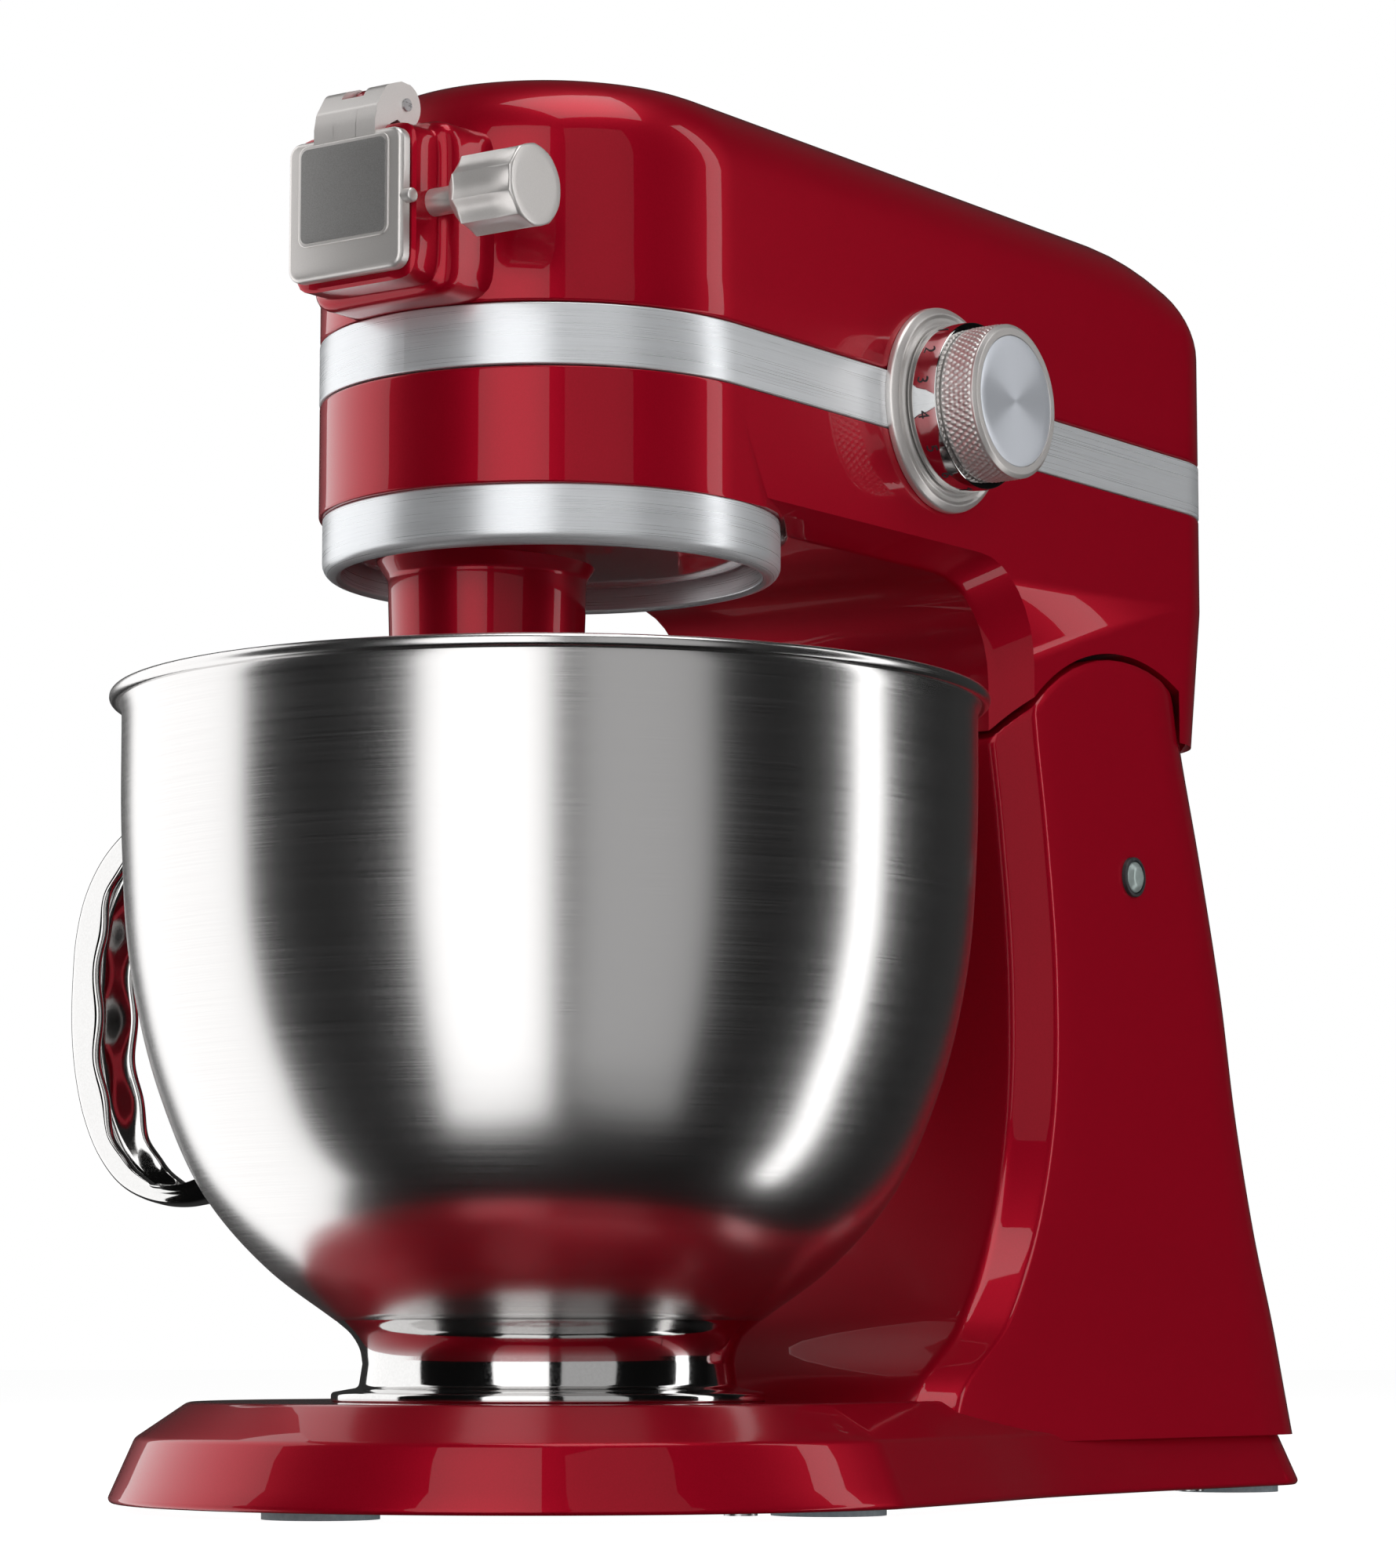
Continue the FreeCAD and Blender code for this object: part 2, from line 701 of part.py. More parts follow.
def beltFace(gap, z):
    """Belt line round both pulleys: two arcs and the two straight runs between them."""
    big, small = size("pulleyRadius") + gap, size("motorPulleyRadius") + gap
    distance = size("motorY")
    lean = math.asin((big - small) / distance)
    corners = []
    for radius, y in ((big, 0), (small, distance)):
        corners.append(V(radius * math.cos(lean), y + radius * math.sin(lean), z))
    run = Part.makeLine(corners[0], corners[1])
    front = arcThrough(corners[0], V(0, -big, z), V(-corners[0].x, corners[0].y, z))
    behind = arcThrough(corners[1], V(0, distance + small, z), V(-corners[1].x, corners[1].y, z))
    return closedFace([run, mirrored(run), front, behind])


def makeBelt():
    low, height = size("beltLow"), size("beltHigh") - size("beltLow")
    gap = size("beltGap")
    outer = beltFace(gap + size("beltThickness"), low).extrude(V(0, 0, height))
    return outer.cut(beltFace(gap, low).extrude(V(0, 0, height)))


def makeBoard():
    board = block(42, 43.6, 72, 114, 274, 316)
    for y0, y1, z0, z1, depth in ((76, 88, 300, 312, 6), (100, 110, 298, 312, 8), (78, 84, 277, 290, 5)):
        board = board.fuse(block(42 - depth, 42, y0, y1, z0, z1))
    return board


def makeSensor():
    body = block(43.6, 53, size("dialY") - 8, size("dialY") + 8, size("dialZ") - 8, size("dialZ") + 8)
    return body.cut(rod(3.05, 20, V(45.5, size("dialY"), size("dialZ")), X))


motorPlace = V(0, size("motorY"), 0)
solidFeature("ring_gear", makeRingGear())
solidFeature("gear_frame", makeGearFrame())
solidFeature("shaft_bearings", makeBearings())
solidFeature("hinge_bushes", makeHingeBushes())
solidFeature("motor_stator", makeStator())
solidFeature("motor_end_caps", makeEndCaps())
solidFeature("drive_belt", makeBelt())
solidFeature("circuit_board", makeBoard())
solidFeature("speed_sensor", makeSensor())
frameScrews = [V(x, y, size("framePlateHigh")) for x in (-42, 42) for y in (-15, 60, 165)]
cylinders("frame_screws", "3.5", "2.5", [FreeCAD.Placement(p, FreeCAD.Rotation()) for p in frameScrews])

# ---- motor rotor ----

turned("rotor_shaft", [("0", "271"), ("4", "271"), ("4", "shaftTop"), ("0", "shaftTop")],
       along(Z, motorPlace))
solidFeature("rotor_core", makeRotorCore())
solidFeature("cooling_fan", makeFan())
turned(
    "motor_pulley",
    [
        ("4", "beltLow-2"),
        ("8.5", "beltLow-2"),
        ("8.5", "beltLow-0.5"),
        ("motorPulleyRadius", "beltLow-0.5"),
        ("motorPulleyRadius", "beltHigh+0.5"),
        ("8.5", "beltHigh+0.5"),
        ("8.5", "beltHigh+2"),
        ("4", "beltHigh+2"),
    ],
    along(Z, motorPlace),
)

# ---- planetary: the disc under the head, its shaft, pulley and bevel gear ----


def makeDisc():
    """Domed disc with the spindle's boss, which tapers down into the bowl."""
    low, high, radius = size("discLow"), size("discHigh"), size("discRadius")
    edge = low + 2.5
    dome = arcThrough(V(0, 0, low), V(radius * 0.55, 0, low + 0.7), V(radius - 2, 0, edge))
    lip = Part.makeLine(V(radius - 2, 0, edge), V(radius, 0, edge + 2))
    rim = Part.makeLine(V(radius, 0, edge + 2), V(radius, 0, high))
    top = Part.makeLine(V(radius, 0, high), V(0, 0, high))
    axis = Part.makeLine(V(0, 0, high), V(0, 0, low))
    disc = closedFace([dome, lip, rim, top, axis]).revolve(V(0, 0, 0), Z, 360)
    bossRadius = size("bossRadius")
    boss = Part.makeCone(bossRadius - 1, bossRadius, high - 2 - size("bossLow"),
                         spindle + Z * size("bossLow"))
    neck = Part.makeCone(11, 13, 12, spindle + Z * (size("bossLow") - 12))
    disc = disc.fuse(boss).fuse(neck)
    grub = rod(size("grubRadius"), 14, spindle + Z * size("grubZ") + X * 14, X)
    return disc.cut(rod(9, 90, spindle + Z * 180)).cut(grub).removeSplitter()


def makeSpindleBushes():
    shapes = []
    for level in (size("bossLow") - 12, size("discHigh") - 12):
        bush = rod(9, 12, spindle + Z * level)
        shapes.append(bush.cut(rod(size("spindleRadius") + size("running"), 12, spindle + Z * level)))
    return Part.makeCompound(shapes)


solidFeature("planetary_disc", makeDisc())
solidFeature("spindle_bushes", makeSpindleBushes())
solidFeature("grub_screw", rod(size("grubRadius"), 10.4, spindle + Z * size("grubZ") + X * 14.5, X))
turned("centre_shaft", [("0", "discHigh"), ("shaftRadius", "discHigh"), ("shaftRadius", "shaftTop"),
                        ("0", "shaftTop")])
turned(
    "drive_pulley",
    [
        ("shaftRadius", "beltLow-2"),
        ("pulleyRadius+2.5", "beltLow-2"),
        ("pulleyRadius+2.5", "beltLow-0.5"),
        ("pulleyRadius", "beltLow-0.5"),
        ("pulleyRadius", "beltHigh+0.5"),
        ("pulleyRadius+2.5", "beltHigh+0.5"),
        ("pulleyRadius+2.5", "beltHigh+2"),
        ("shaftRadius", "beltHigh+2"),
    ],
)
turned(
    "bevel_gear",
    [
        ("shaftRadius", "hubZ-bevelSize"),
        ("bevelSize-0.3", "hubZ-bevelSize"),
        ("8.7", "hubZ-9"),
        ("shaftRadius", "hubZ-9"),
    ],
)

# ---- spindle that a beater hangs on ----


def makeSpindleShaft():
    low, high = size("spindleEnd"), size("gearHigh")
    step = low + size("socketEndLength")
    shaft = rod(size("socketEndRadius"), step - low, spindle + Z * low)
    shaft = shaft.fuse(rod(size("spindleRadius"), size("gearLow") - step, spindle + Z * step))
    shaft = shaft.fuse(rod(size("spindleRadius") - 1.8, high - step, spindle + Z * step))
    hole = rod(size("crossPinRadius"), 20, spindle + V(0, -10, size("crossPinZ")), Y)
    return shaft.cut(hole).removeSplitter()


solidFeature("spindle_shaft", makeSpindleShaft())
solidFeature("planet_gear", makePlanetGear())
cylinders("beater_pin", "crossPinRadius", "19", [along(Y, spindle + V(0, -9.5, size("crossPinZ")))])

# ---- power hub ----


def makeHubHousing():
    front, hubZ = size("hubFrontY"), size("hubZ")
    nose = hubNose(0)
    wide = size("knuckleHalf")
    knuckle = rod(size("knuckleRadius"), 2 * wide, V(-wide, size("coverPinY"), size("coverPinZ")), X)
    neck = block(-wide, wide, size("coverPinY") - 5, size("coverPinY") + 5,
                 size("hubHigh") - 3, size("coverPinZ"))
    housing = nose.fuse(neck).fuse(knuckle)
    depth = size("hubBackY") - size("hubBushLength") - front
    housing = housing.cut(rod(size("hubBore"), size("hubBoreDepth"), V(0, front, hubZ), Y))
    housing = housing.cut(rod(size("hubBore") - 2, depth, V(0, front, hubZ), Y))
    housing = housing.cut(rod(9, 20, V(0, size("hubBackY") - 15, hubZ), Y))
    housing = housing.cut(rod(1.6, 20, V(-10, size("coverPinY"), size("coverPinZ")), X))
    housing = housing.cut(rod(size("screwRadius") + size("running"), 20, V(10, size("screwY"), hubZ), X))
    notch = block(15.5, 20, front, front + 3, hubZ - 4, hubZ + 4)
    return housing.cut(notch).removeSplitter()


def makeHubBush():
    length = size("hubBushLength")
    base = V(0, size("hubBackY") - length, size("hubZ"))
    return rod(9, length, base, Y).cut(rod(size("shaftRadius") + size("running"), length, base, Y))


def makeHubSocket():
    """Cup with a square hole for an attachment, and its shaft."""
    hubZ = size("hubZ")
    socket = rod(12, 21.5, V(0, -68, hubZ), Y).fuse(rod(size("shaftRadius"), 32, V(0, -47, hubZ), Y))
    return socket.cut(block(-4.8, 4.8, -69, -52, hubZ - 4.8, hubZ + 4.8)).removeSplitter()


def makeBevelPinion():
    apex = V(0, 0, size("hubZ"))
    big, small = size("bevelSize") - 0.3, 8.7
    pinion = Part.makeCone(big, small, size("bevelSize") - 9, apex - Y * size("bevelSize"), Y)
    return pinion.cut(rod(size("shaftRadius"), 20, apex - Y * 25, Y))


def makeCoverPlate():
    """Hinged plate with an inset front, two knuckles round the pin and a small catch on its side."""
    front = size("hubFrontY") - 0.3 - size("coverThickness")
    low, high, half = size("coverLow"), size("coverHigh"), size("coverHalf")
    pinY, pinZ = size("coverPinY"), size("coverPinZ")
    plate = block(-half, half, front, front + size("coverThickness"), low, high)
    long = [e for e in plate.Edges if e.BoundBox.YLength > 1]
    plate = plate.makeFillet(3.5, long)
    plate = plate.cut(block(-13.5, 13.5, front, front + 0.8, low + 9, low + 33))
    arm = sideways([(front, high - 1.5), (front, high + 2), (front + 4.5, pinZ + 3), (pinY, pinZ + 3),
                    (pinY - 3, pinZ - 3), (front + size("coverThickness"), high + 2),
                    (front + size("coverThickness"), high - 1.5)], size("tabHalf"))
    arm = arm.fuse(rod(size("knuckleRadius"), 2 * size("tabHalf"), V(-size("tabHalf"), pinY, pinZ), X))
    arm = arm.cut(block(-3.5, 3.5, pinY - 7.5, pinY + 7, pinZ - 8, pinZ + 7))
    arm = arm.cut(rod(1.65, 40, V(-20, pinY, pinZ), X))
    catch = rod(1.8, 3.5, V(half - 0.8, front + 2, size("hubZ")), X)
    return plate.fuse(arm).fuse(catch).removeSplitter()


solidFeature("hub_housing", makeHubHousing())
pinStart = V(-size("tabHalf") - 0.5, size("coverPinY"), size("coverPinZ"))
cylinders("hub_hinge_pin", "1.6", "2*tabHalf+1", [along(X, pinStart)])
solidFeature("hub_bush", makeHubBush())
solidFeature("hub_socket", makeHubSocket())
solidFeature("bevel_pinion", makeBevelPinion())
solidFeature("hub_cover", makeCoverPlate())
padded(
    "hub_cover_panel",
    [("-13.5", "coverLow+9"), ("13.5", "coverLow+9"), ("13.5", "coverLow+33"), ("-13.5", "coverLow+33")],
    "0.7",
    FreeCAD.Placement(V(0, size("hubFrontY") - size("coverThickness") + 0.5, 0), FreeCAD.Rotation(X, 90)),
)
cylinders("hub_screw", "screwRadius", "28.5", [along(X, V(15.5, size("screwY"), size("hubZ")))])
hubKnob = turned(
    "hub_knob",
    [
        ("screwRadius+running", "0"),
        ("knobRadius-3", "0"),
        ("knobRadius", "3"),
        ("knobRadius", "knobEnd-knobStart-1"),
        ("knobRadius-1", "knobEnd-knobStart"),
        ("0", "knobEnd-knobStart"),
        ("0", "16"),
        ("screwRadius+running", "16"),
    ],
    along(X, V(size("knobStart"), size("screwY"), size("hubZ"))),
)
doc.recompute()
fluted(hubKnob, 10, "knobRadius+1.6", "2.6", "knobEnd-knobStart-2")

# ---- speed dial ----

dialPlace = along(X, V(0, size("dialY"), size("dialZ")))
turned(
    "dial_escutcheon",
    [("3.05", "headHalf"), ("27.5", "headHalf"), ("27.5", "headHalf+2.3"), ("26.5", "headHalf+3.3"),
     ("3.05", "headHalf+3.3")],
    dialPlace,
)
turned(
    "dial_scale",
    [("3", "headHalf+3.6"), ("22.5", "headHalf+3.6"), ("22", "dialEnd-11"), ("3", "dialEnd-11")],
    dialPlace,
)
dialKnob = turned(
    "dial_knob",
    [("0", "dialEnd-11"), ("dialRadius", "dialEnd-11"), ("dialRadius", "dialEnd-1.5"),
     ("dialRadius-1.5", "dialEnd"), ("17.5", "dialEnd"), ("17.5", "dialEnd-0.7"), ("0", "dialEnd-0.7")],
    dialPlace,
)
doc.recompute()
turned("dial_face", [("0", "dialEnd-0.7"), ("17.5", "dialEnd-0.7"), ("17.5", "dialEnd"), ("0", "dialEnd")],
       dialPlace)
turned("dial_shaft", [("0", "46"), ("3", "46"), ("3", "dialEnd-11"), ("0", "dialEnd-11")], dialPlace)

# ---- bowl ----


def bowlCurve(offset):
    """Side of the bowl from the foot's seam to the rim, moved inwards by an offset."""
    rim = size("bowlRimR") - 1.5
    points = [
        (size("footSeam"), size("bowlFloor")),
        (70.5, 59.5),
        (86.0, 77.0),
        (98.0, 103.0),
        (105.5, 133.0),
        (rim - 0.5, 167.0),
        (rim, size("bowlRimZ")),
    ]
    curve = Part.BSplineCurve()
    curve.interpolate([V(radius - offset, 0, z + offset * (0.85 if z < 100 else 0.0))
                       for radius, z in points])
    return curve


def makeBowl():
    wall, floor = size("bowlWall"), size("bowlFloor")
    outer, inner = bowlCurve(0), bowlCurve(wall)
    start, end = outer.StartPoint, outer.EndPoint
    innerStart, innerEnd = inner.StartPoint, inner.EndPoint
    edges = [
        Part.makeLine(V(0, 0, floor), start),
        outer.toShape(),
        Part.makeLine(end, innerEnd),
        inner.toShape(),
        Part.makeLine(innerStart, V(0, 0, innerStart.z)),
        Part.makeLine(V(0, 0, innerStart.z), V(0, 0, floor)),
    ]
    shell = closedFace(edges).revolve(V(0, 0, 0), Z, 360)
    bead = Part.makeTorus(size("bowlRimR"), size("beadRadius"), V(0, 0, size("bowlRimZ")), Z)
    return shell.fuse(bead).removeSplitter()


def bowlOutside():
    outer = bowlCurve(0)
    floor, top = size("bowlFloor"), size("bowlRimZ")
    edges = [
        Part.makeLine(V(0, 0, floor), outer.StartPoint),
        outer.toShape(),
        Part.makeLine(outer.EndPoint, V(0, 0, top)),
        Part.makeLine(V(0, 0, top), V(0, 0, floor)),
    ]
    return closedFace(edges).revolve(V(0, 0, 0), Z, 360)


def makeBowlFoot():
    """Waisted collar with a flange that stands on the base."""
    low, top = size("baseTop"), size("bowlFloor")
    neck, seam, flange = size("footNeck"), size("footSeam"), size("flangeRadius")
    waist = arcThrough(V(seam, 0, top), V(neck + 1.6, 0, top - 5.5), V(neck, 0, top - 11))
    inside = neck - 2
    corners = [
        V(neck, 0, top - 11),
        V(neck, 0, low + 3.2),
        V(flange, 0, low + 2.2),
        V(flange, 0, low),
        V(inside, 0, low),
        V(inside, 0, top - 11),
        V(seam - 3, 0, top),
        V(seam, 0, top),
    ]
    edges = [Part.makeLine(corners[i], corners[i + 1]) for i in range(len(corners) - 1)]
    return closedFace(edges + [waist]).revolve(V(0, 0, 0), Z, 360)


def makeHandle():
    """Wide strap bent out from the bowl's side, with finger waves on its inner face."""
    half = size("handleHalfWidth")
    outer = [(100, 188), (116, 185.5), (128, 179.5), (138, 171), (144, 161), (147, 150), (148, 138),
             (148, 124), (146.5, 112), (143.5, 101), (138.5, 91), (131, 83), (122, 79), (110, 78.5),
             (88, 84)]
    inner = [(88, 90), (100, 87.5), (112, 85.5), (122, 86.5), (130, 91.5), (134.5, 98), (138.5, 105),
             (137.5, 113), (141.5, 121), (140, 130), (142, 139), (138.5, 148), (138, 156), (132, 165.5),
             (123, 173), (113, 178.5), (100, 181)]
    spines = []
    for line in (outer, inner):
        curve = Part.BSplineCurve()
        curve.interpolate([V(-radius, -half, z) for radius, z in line])
        spines.append(curve)
    ends = [
        Part.makeLine(spines[0].EndPoint, spines[1].StartPoint),
        Part.makeLine(spines[1].EndPoint, spines[0].StartPoint),
    ]
    strap = closedFace([spines[0].toShape(), spines[1].toShape()] + ends).extrude(V(0, 2 * half, 0))
    strap.rotate(V(0, 0, 0), Z, size("handleTurn"))
    return strap.cut(bowlOutside())


solidFeature("bowl", makeBowl())
solidFeature("bowl_foot", makeBowlFoot())
solidFeature("bowl_handle", makeHandle())

# ---- checks and files ----

doc.recompute()
faults = []
for item in doc.Objects:
    if "Invalid" in item.State or "Error" in item.State:
        faults.append("%s: %s" % (item.Label, item.State))
for part in subParts:
    if part.Shape.isNull() or not part.Shape.isValid() or not part.Shape.Solids:
        faults.append("%s: shape not valid" % part.Label)
if faults:
    raise RuntimeError("; ".join(faults))

os.makedirs("parts", exist_ok=True)
for part in subParts:
    part.Shape.exportStep("parts/%s.step" % part.Label)
    print("%-20s %2d solid %10.1f mm3" % (part.Label, len(part.Shape.Solids), part.Shape.Volume))
print(len(subParts), "nodes")
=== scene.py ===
import json
import math
import bmesh
import bpy
import numpy as np
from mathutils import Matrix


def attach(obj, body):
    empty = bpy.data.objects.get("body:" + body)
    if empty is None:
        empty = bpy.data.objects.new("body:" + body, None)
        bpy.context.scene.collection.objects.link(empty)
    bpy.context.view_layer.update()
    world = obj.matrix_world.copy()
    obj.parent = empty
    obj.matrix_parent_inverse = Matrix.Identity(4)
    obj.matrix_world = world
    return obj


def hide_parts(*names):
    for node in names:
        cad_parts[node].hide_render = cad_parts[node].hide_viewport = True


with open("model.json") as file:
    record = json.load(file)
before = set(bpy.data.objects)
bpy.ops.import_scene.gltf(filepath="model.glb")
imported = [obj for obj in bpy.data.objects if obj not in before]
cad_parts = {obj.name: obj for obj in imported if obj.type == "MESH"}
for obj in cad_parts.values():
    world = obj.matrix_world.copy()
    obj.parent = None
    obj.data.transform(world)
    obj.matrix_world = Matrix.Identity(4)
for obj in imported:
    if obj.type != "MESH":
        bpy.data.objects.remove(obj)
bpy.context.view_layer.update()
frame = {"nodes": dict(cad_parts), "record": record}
mm = 0.001
print("stand mixer: CAD frame loaded,", len(frame["nodes"]), "nodes")


# ---- lines and profiles, all in millimetres ----

def rounded(corners, steps=6, between=1):
    # Open path through corners (a, b, radius): each corner becomes a cubic arc that meets both
    # runs, and each straight run is split evenly into the given number of spans.
    points = np.array([c[:2] for c in corners], float)
    radii = [c[2] if len(c) > 2 else 0.0 for c in corners]
    ends = []
    for i, radius in enumerate(radii):
        if radius <= 0 or i in (0, len(radii) - 1):
            ends.append(points[i:i + 1])
            continue
        back, ahead = points[i - 1] - points[i], points[i + 1] - points[i]
        back, ahead = back / np.linalg.norm(back), ahead / np.linalg.norm(ahead)
        turn = math.pi - math.acos(float(np.clip(back @ ahead, -1, 1)))
        reach = radius * math.tan(turn / 2)
        lift = 4 / 3 * math.tan(turn / 4) / math.tan(turn / 2)
        a, d = points[i] + back * reach, points[i] + ahead * reach
        b, c = a + (points[i] - a) * lift, d + (points[i] - d) * lift
        t = np.linspace(0, 1, steps + 1)[:, None]
        ends.append((1 - t) ** 3 * a + 3 * (1 - t) ** 2 * t * b + 3 * (1 - t) * t ** 2 * c + t ** 3 * d)
    path = [ends[0]]
    for before, after in zip(ends[:-1], ends[1:]):
        t = np.linspace(0, 1, between + 1)[1:-1, None]
        path += [before[-1] + (after[0] - before[-1]) * t, after]
    return np.concatenate(path)


def flowing(points, count):
    # Smooth line through points of any dimension: cubic Hermite spans over the chord length,
    # with each tangent taken from the two neighbours.
    points = np.array(points, float)
    gaps = np.linalg.norm(np.diff(points, axis=0), axis=1)
    knots = np.concatenate([[0], np.cumsum(gaps)])
    slopes = np.gradient(points, knots, axis=0)
    t = np.linspace(0, knots[-1], count)
    i = np.clip(np.searchsorted(knots, t, side="right") - 1, 0, len(gaps) - 1)
    h, u = gaps[i][:, None], ((t - knots[i]) / gaps[i])[:, None]
    return ((2 * u ** 3 - 3 * u ** 2 + 1) * points[i] + (u ** 3 - 2 * u ** 2 + u) * h * slopes[i]
            + (3 * u ** 2 - 2 * u ** 3) * points[i + 1] + (u ** 3 - u ** 2) * h * slopes[i + 1])


def bothSides(half):
    # Closed loop from a half line that starts and ends on x = 0, and its mirror image.
    other = half[-2:0:-1] * [-1, 1]
    return np.concatenate([half, other])


def outward(loop):
    # Unit normals of a closed loop, from the line between each point's neighbours.
    run = np.roll(loop, -1, axis=0) - np.roll(loop, 1, axis=0)
    side = np.stack([run[:, 1], -run[:, 0]], axis=1)
    side /= np.linalg.norm(side, axis=1)[:, None]
    centre = loop.mean(axis=0)
    return side * np.sign(((loop - centre) * side).sum())


def arc(cx, cy, radius, start, end, count):
    # Points on a circle between two angles in degrees.
    t = np.radians(np.linspace(start, end, count))
    return np.stack([cx + radius * np.cos(t), cy + radius * np.sin(t)], axis=1)


# ---- grids to meshes ----

def gridFaces(rows, cols, loopRows=False, loopCols=True):
    # Quads of a grid of rows by cols points, closed on itself where asked.
    r = np.arange(rows if loopRows else rows - 1)[:, None]
    c = np.arange(cols if loopCols else cols - 1)[None, :]
    r2, c2 = (r + 1) % rows, (c + 1) % cols
    quads = [r * cols + c, r * cols + c2, r2 * cols + c2, r2 * cols + c]
    return np.stack([np.broadcast_to(q, (r.shape[0], c.shape[1])) for q in quads], axis=-1).reshape(-1, 4)


def stripFaces(start, count):
    # Strips across a mirrored loop, each between a point and its mirror image.
    i = np.arange(count // 2)
    return np.stack([start + i, start + i + 1, start + (count - i - 1) % count,
                     start + (count - i) % count], axis=1)


def sweepAround(loop, profile):
    # Rings round an outline: each profile point (inset, height) moves the outline inwards along
    # its normals by the inset and up to the height.
    side = outward(loop)
    flat = loop[None] - side[None] * profile[:, 0][:, None, None]
    height = np.broadcast_to(profile[:, 1][:, None, None], flat.shape[:2] + (1,))
    return np.concatenate([flat, height], axis=2)


def lathe(profile, segments, centre=(0, 0, 0), axis="z", closed=True):
    # Profile points (radius, height) carried round an axis through the centre.
    t = np.linspace(0, 2 * math.pi, segments, endpoint=False)
    r, h = profile[:, 0][:, None], np.broadcast_to(profile[:, 1][:, None], (len(profile), segments))
    a, b = r * np.cos(t), r * np.sin(t)
    order = {"z": (a, b, h), "x": (h, a, b), "y": (b, h, a)}[axis]
    points = np.stack(order, axis=2) + np.array(centre, float)
    return points.reshape(-1, 3), gridFaces(len(profile), segments, loopRows=closed)


def joined(*parts):
    # Several (points, faces) pairs as one, whatever their faces' corner counts.
    points, faces, base = [], [], 0
    for p, f in parts:
        points.append(np.asarray(p).reshape(-1, 3))
        faces += [[int(i) + base for i in face] for face in f]
        base += len(points[-1])
    return np.concatenate(points), faces


def boxOf(x0, x1, y0, y1, z0, z1):
    # The eight corners and six sides of a plain box.
    points = np.array([[x, y, z] for x in (x0, x1) for y in (y0, y1) for z in (z0, z1)], float)
    faces = [[0, 1, 3, 2], [4, 6, 7, 5], [0, 4, 5, 1], [2, 3, 7, 6], [0, 2, 6, 4], [1, 5, 7, 3]]
    return points, np.array(faces)


def prismX(line, half):
    # A closed (y, z) outline carried straight across from -half to half.
    n = len(line)
    side = [np.concatenate([np.full((n, 1), x), line], axis=1) for x in (-half, half)]
    return np.concatenate(side), gridFaces(2, n).tolist() + [
        list(range(n)), list(range(2 * n - 1, n - 1, -1))]


def tidyMesh(mesh):
    # Merges seams and poles, drops flat slivers and turns every face outwards.
    work = bmesh.new()
    work.from_mesh(mesh)
    bmesh.ops.remove_doubles(work, verts=work.verts, dist=2e-6)
    bmesh.ops.dissolve_degenerate(work, edges=work.edges, dist=1e-7)
    bmesh.ops.recalc_face_normals(work, faces=work.faces)
    work.to_mesh(mesh)
    work.free()


def rawObject(name, shape):
    points, faces = shape
    mesh = bpy.data.meshes.new(name)
    corners = np.asarray(points).reshape(-1, 3) * mm
    mesh.from_pydata(corners.tolist(), [], [list(map(int, f)) for f in faces])
    tidyMesh(mesh)
    thing = bpy.data.objects.new(name, mesh)
    bpy.context.scene.collection.objects.link(thing)
    return thing


def carve(thing, cutters):
    # Takes each cutter's volume away from the piece.
    for i, shape in enumerate(cutters):
        tool = rawObject(thing.name + "Cut%d" % i, shape)
        cut = thing.modifiers.new("cut", "BOOLEAN")
        cut.operation, cut.solver, cut.object = "DIFFERENCE", "EXACT", tool
        bpy.context.view_layer.update()
        result = bpy.data.meshes.new_from_object(thing.evaluated_get(bpy.context.evaluated_depsgraph_get()))
        thing.modifiers.clear()
        thing.data = result
        bpy.data.objects.remove(tool)
    tidyMesh(thing.data)
    return thing


def place(name, shape, body, finish, stands=(), cutters=(), crisp=32):
    # Makes one finished piece: mesh, smooth faces with crisp edges, material, body and CAD nodes.
    thing = rawObject(name, shape)
    if cutters:
        carve(thing, cutters)
    mesh = thing.data
    mesh.polygons.foreach_set("use_smooth", np.ones(len(mesh.polygons), bool))
    mesh.set_sharp_from_angle(angle=math.radians(crisp))
    mesh.materials.clear()
    mesh.materials.append(finishes[finish])
    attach(thing, body)
    if stands:
        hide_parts(*stands)
    return thing


# ---- finishes ----

finishes = {}


def shader(name, colour, metallic=0.0, roughness=0.4, coat=0.0, coatRoughness=0.05, coatIor=1.5, level=0.5):
    # A principled surface with every plain value set on its own socket.
    made = bpy.data.materials.new(name)
    made.use_nodes = True
    surface = made.node_tree.nodes["Principled BSDF"]
    surface.inputs["Base Color"].default_value = (*colour, 1)
    surface.inputs["Metallic"].default_value = metallic
    surface.inputs["Roughness"].default_value = roughness
    surface.inputs["Coat Weight"].default_value = coat
    surface.inputs["Coat Roughness"].default_value = coatRoughness
    surface.inputs["Coat IOR"].default_value = coatIor
    surface.inputs["Specular IOR Level"].default_value = level
    finishes[name] = made
    return made.node_tree, surface


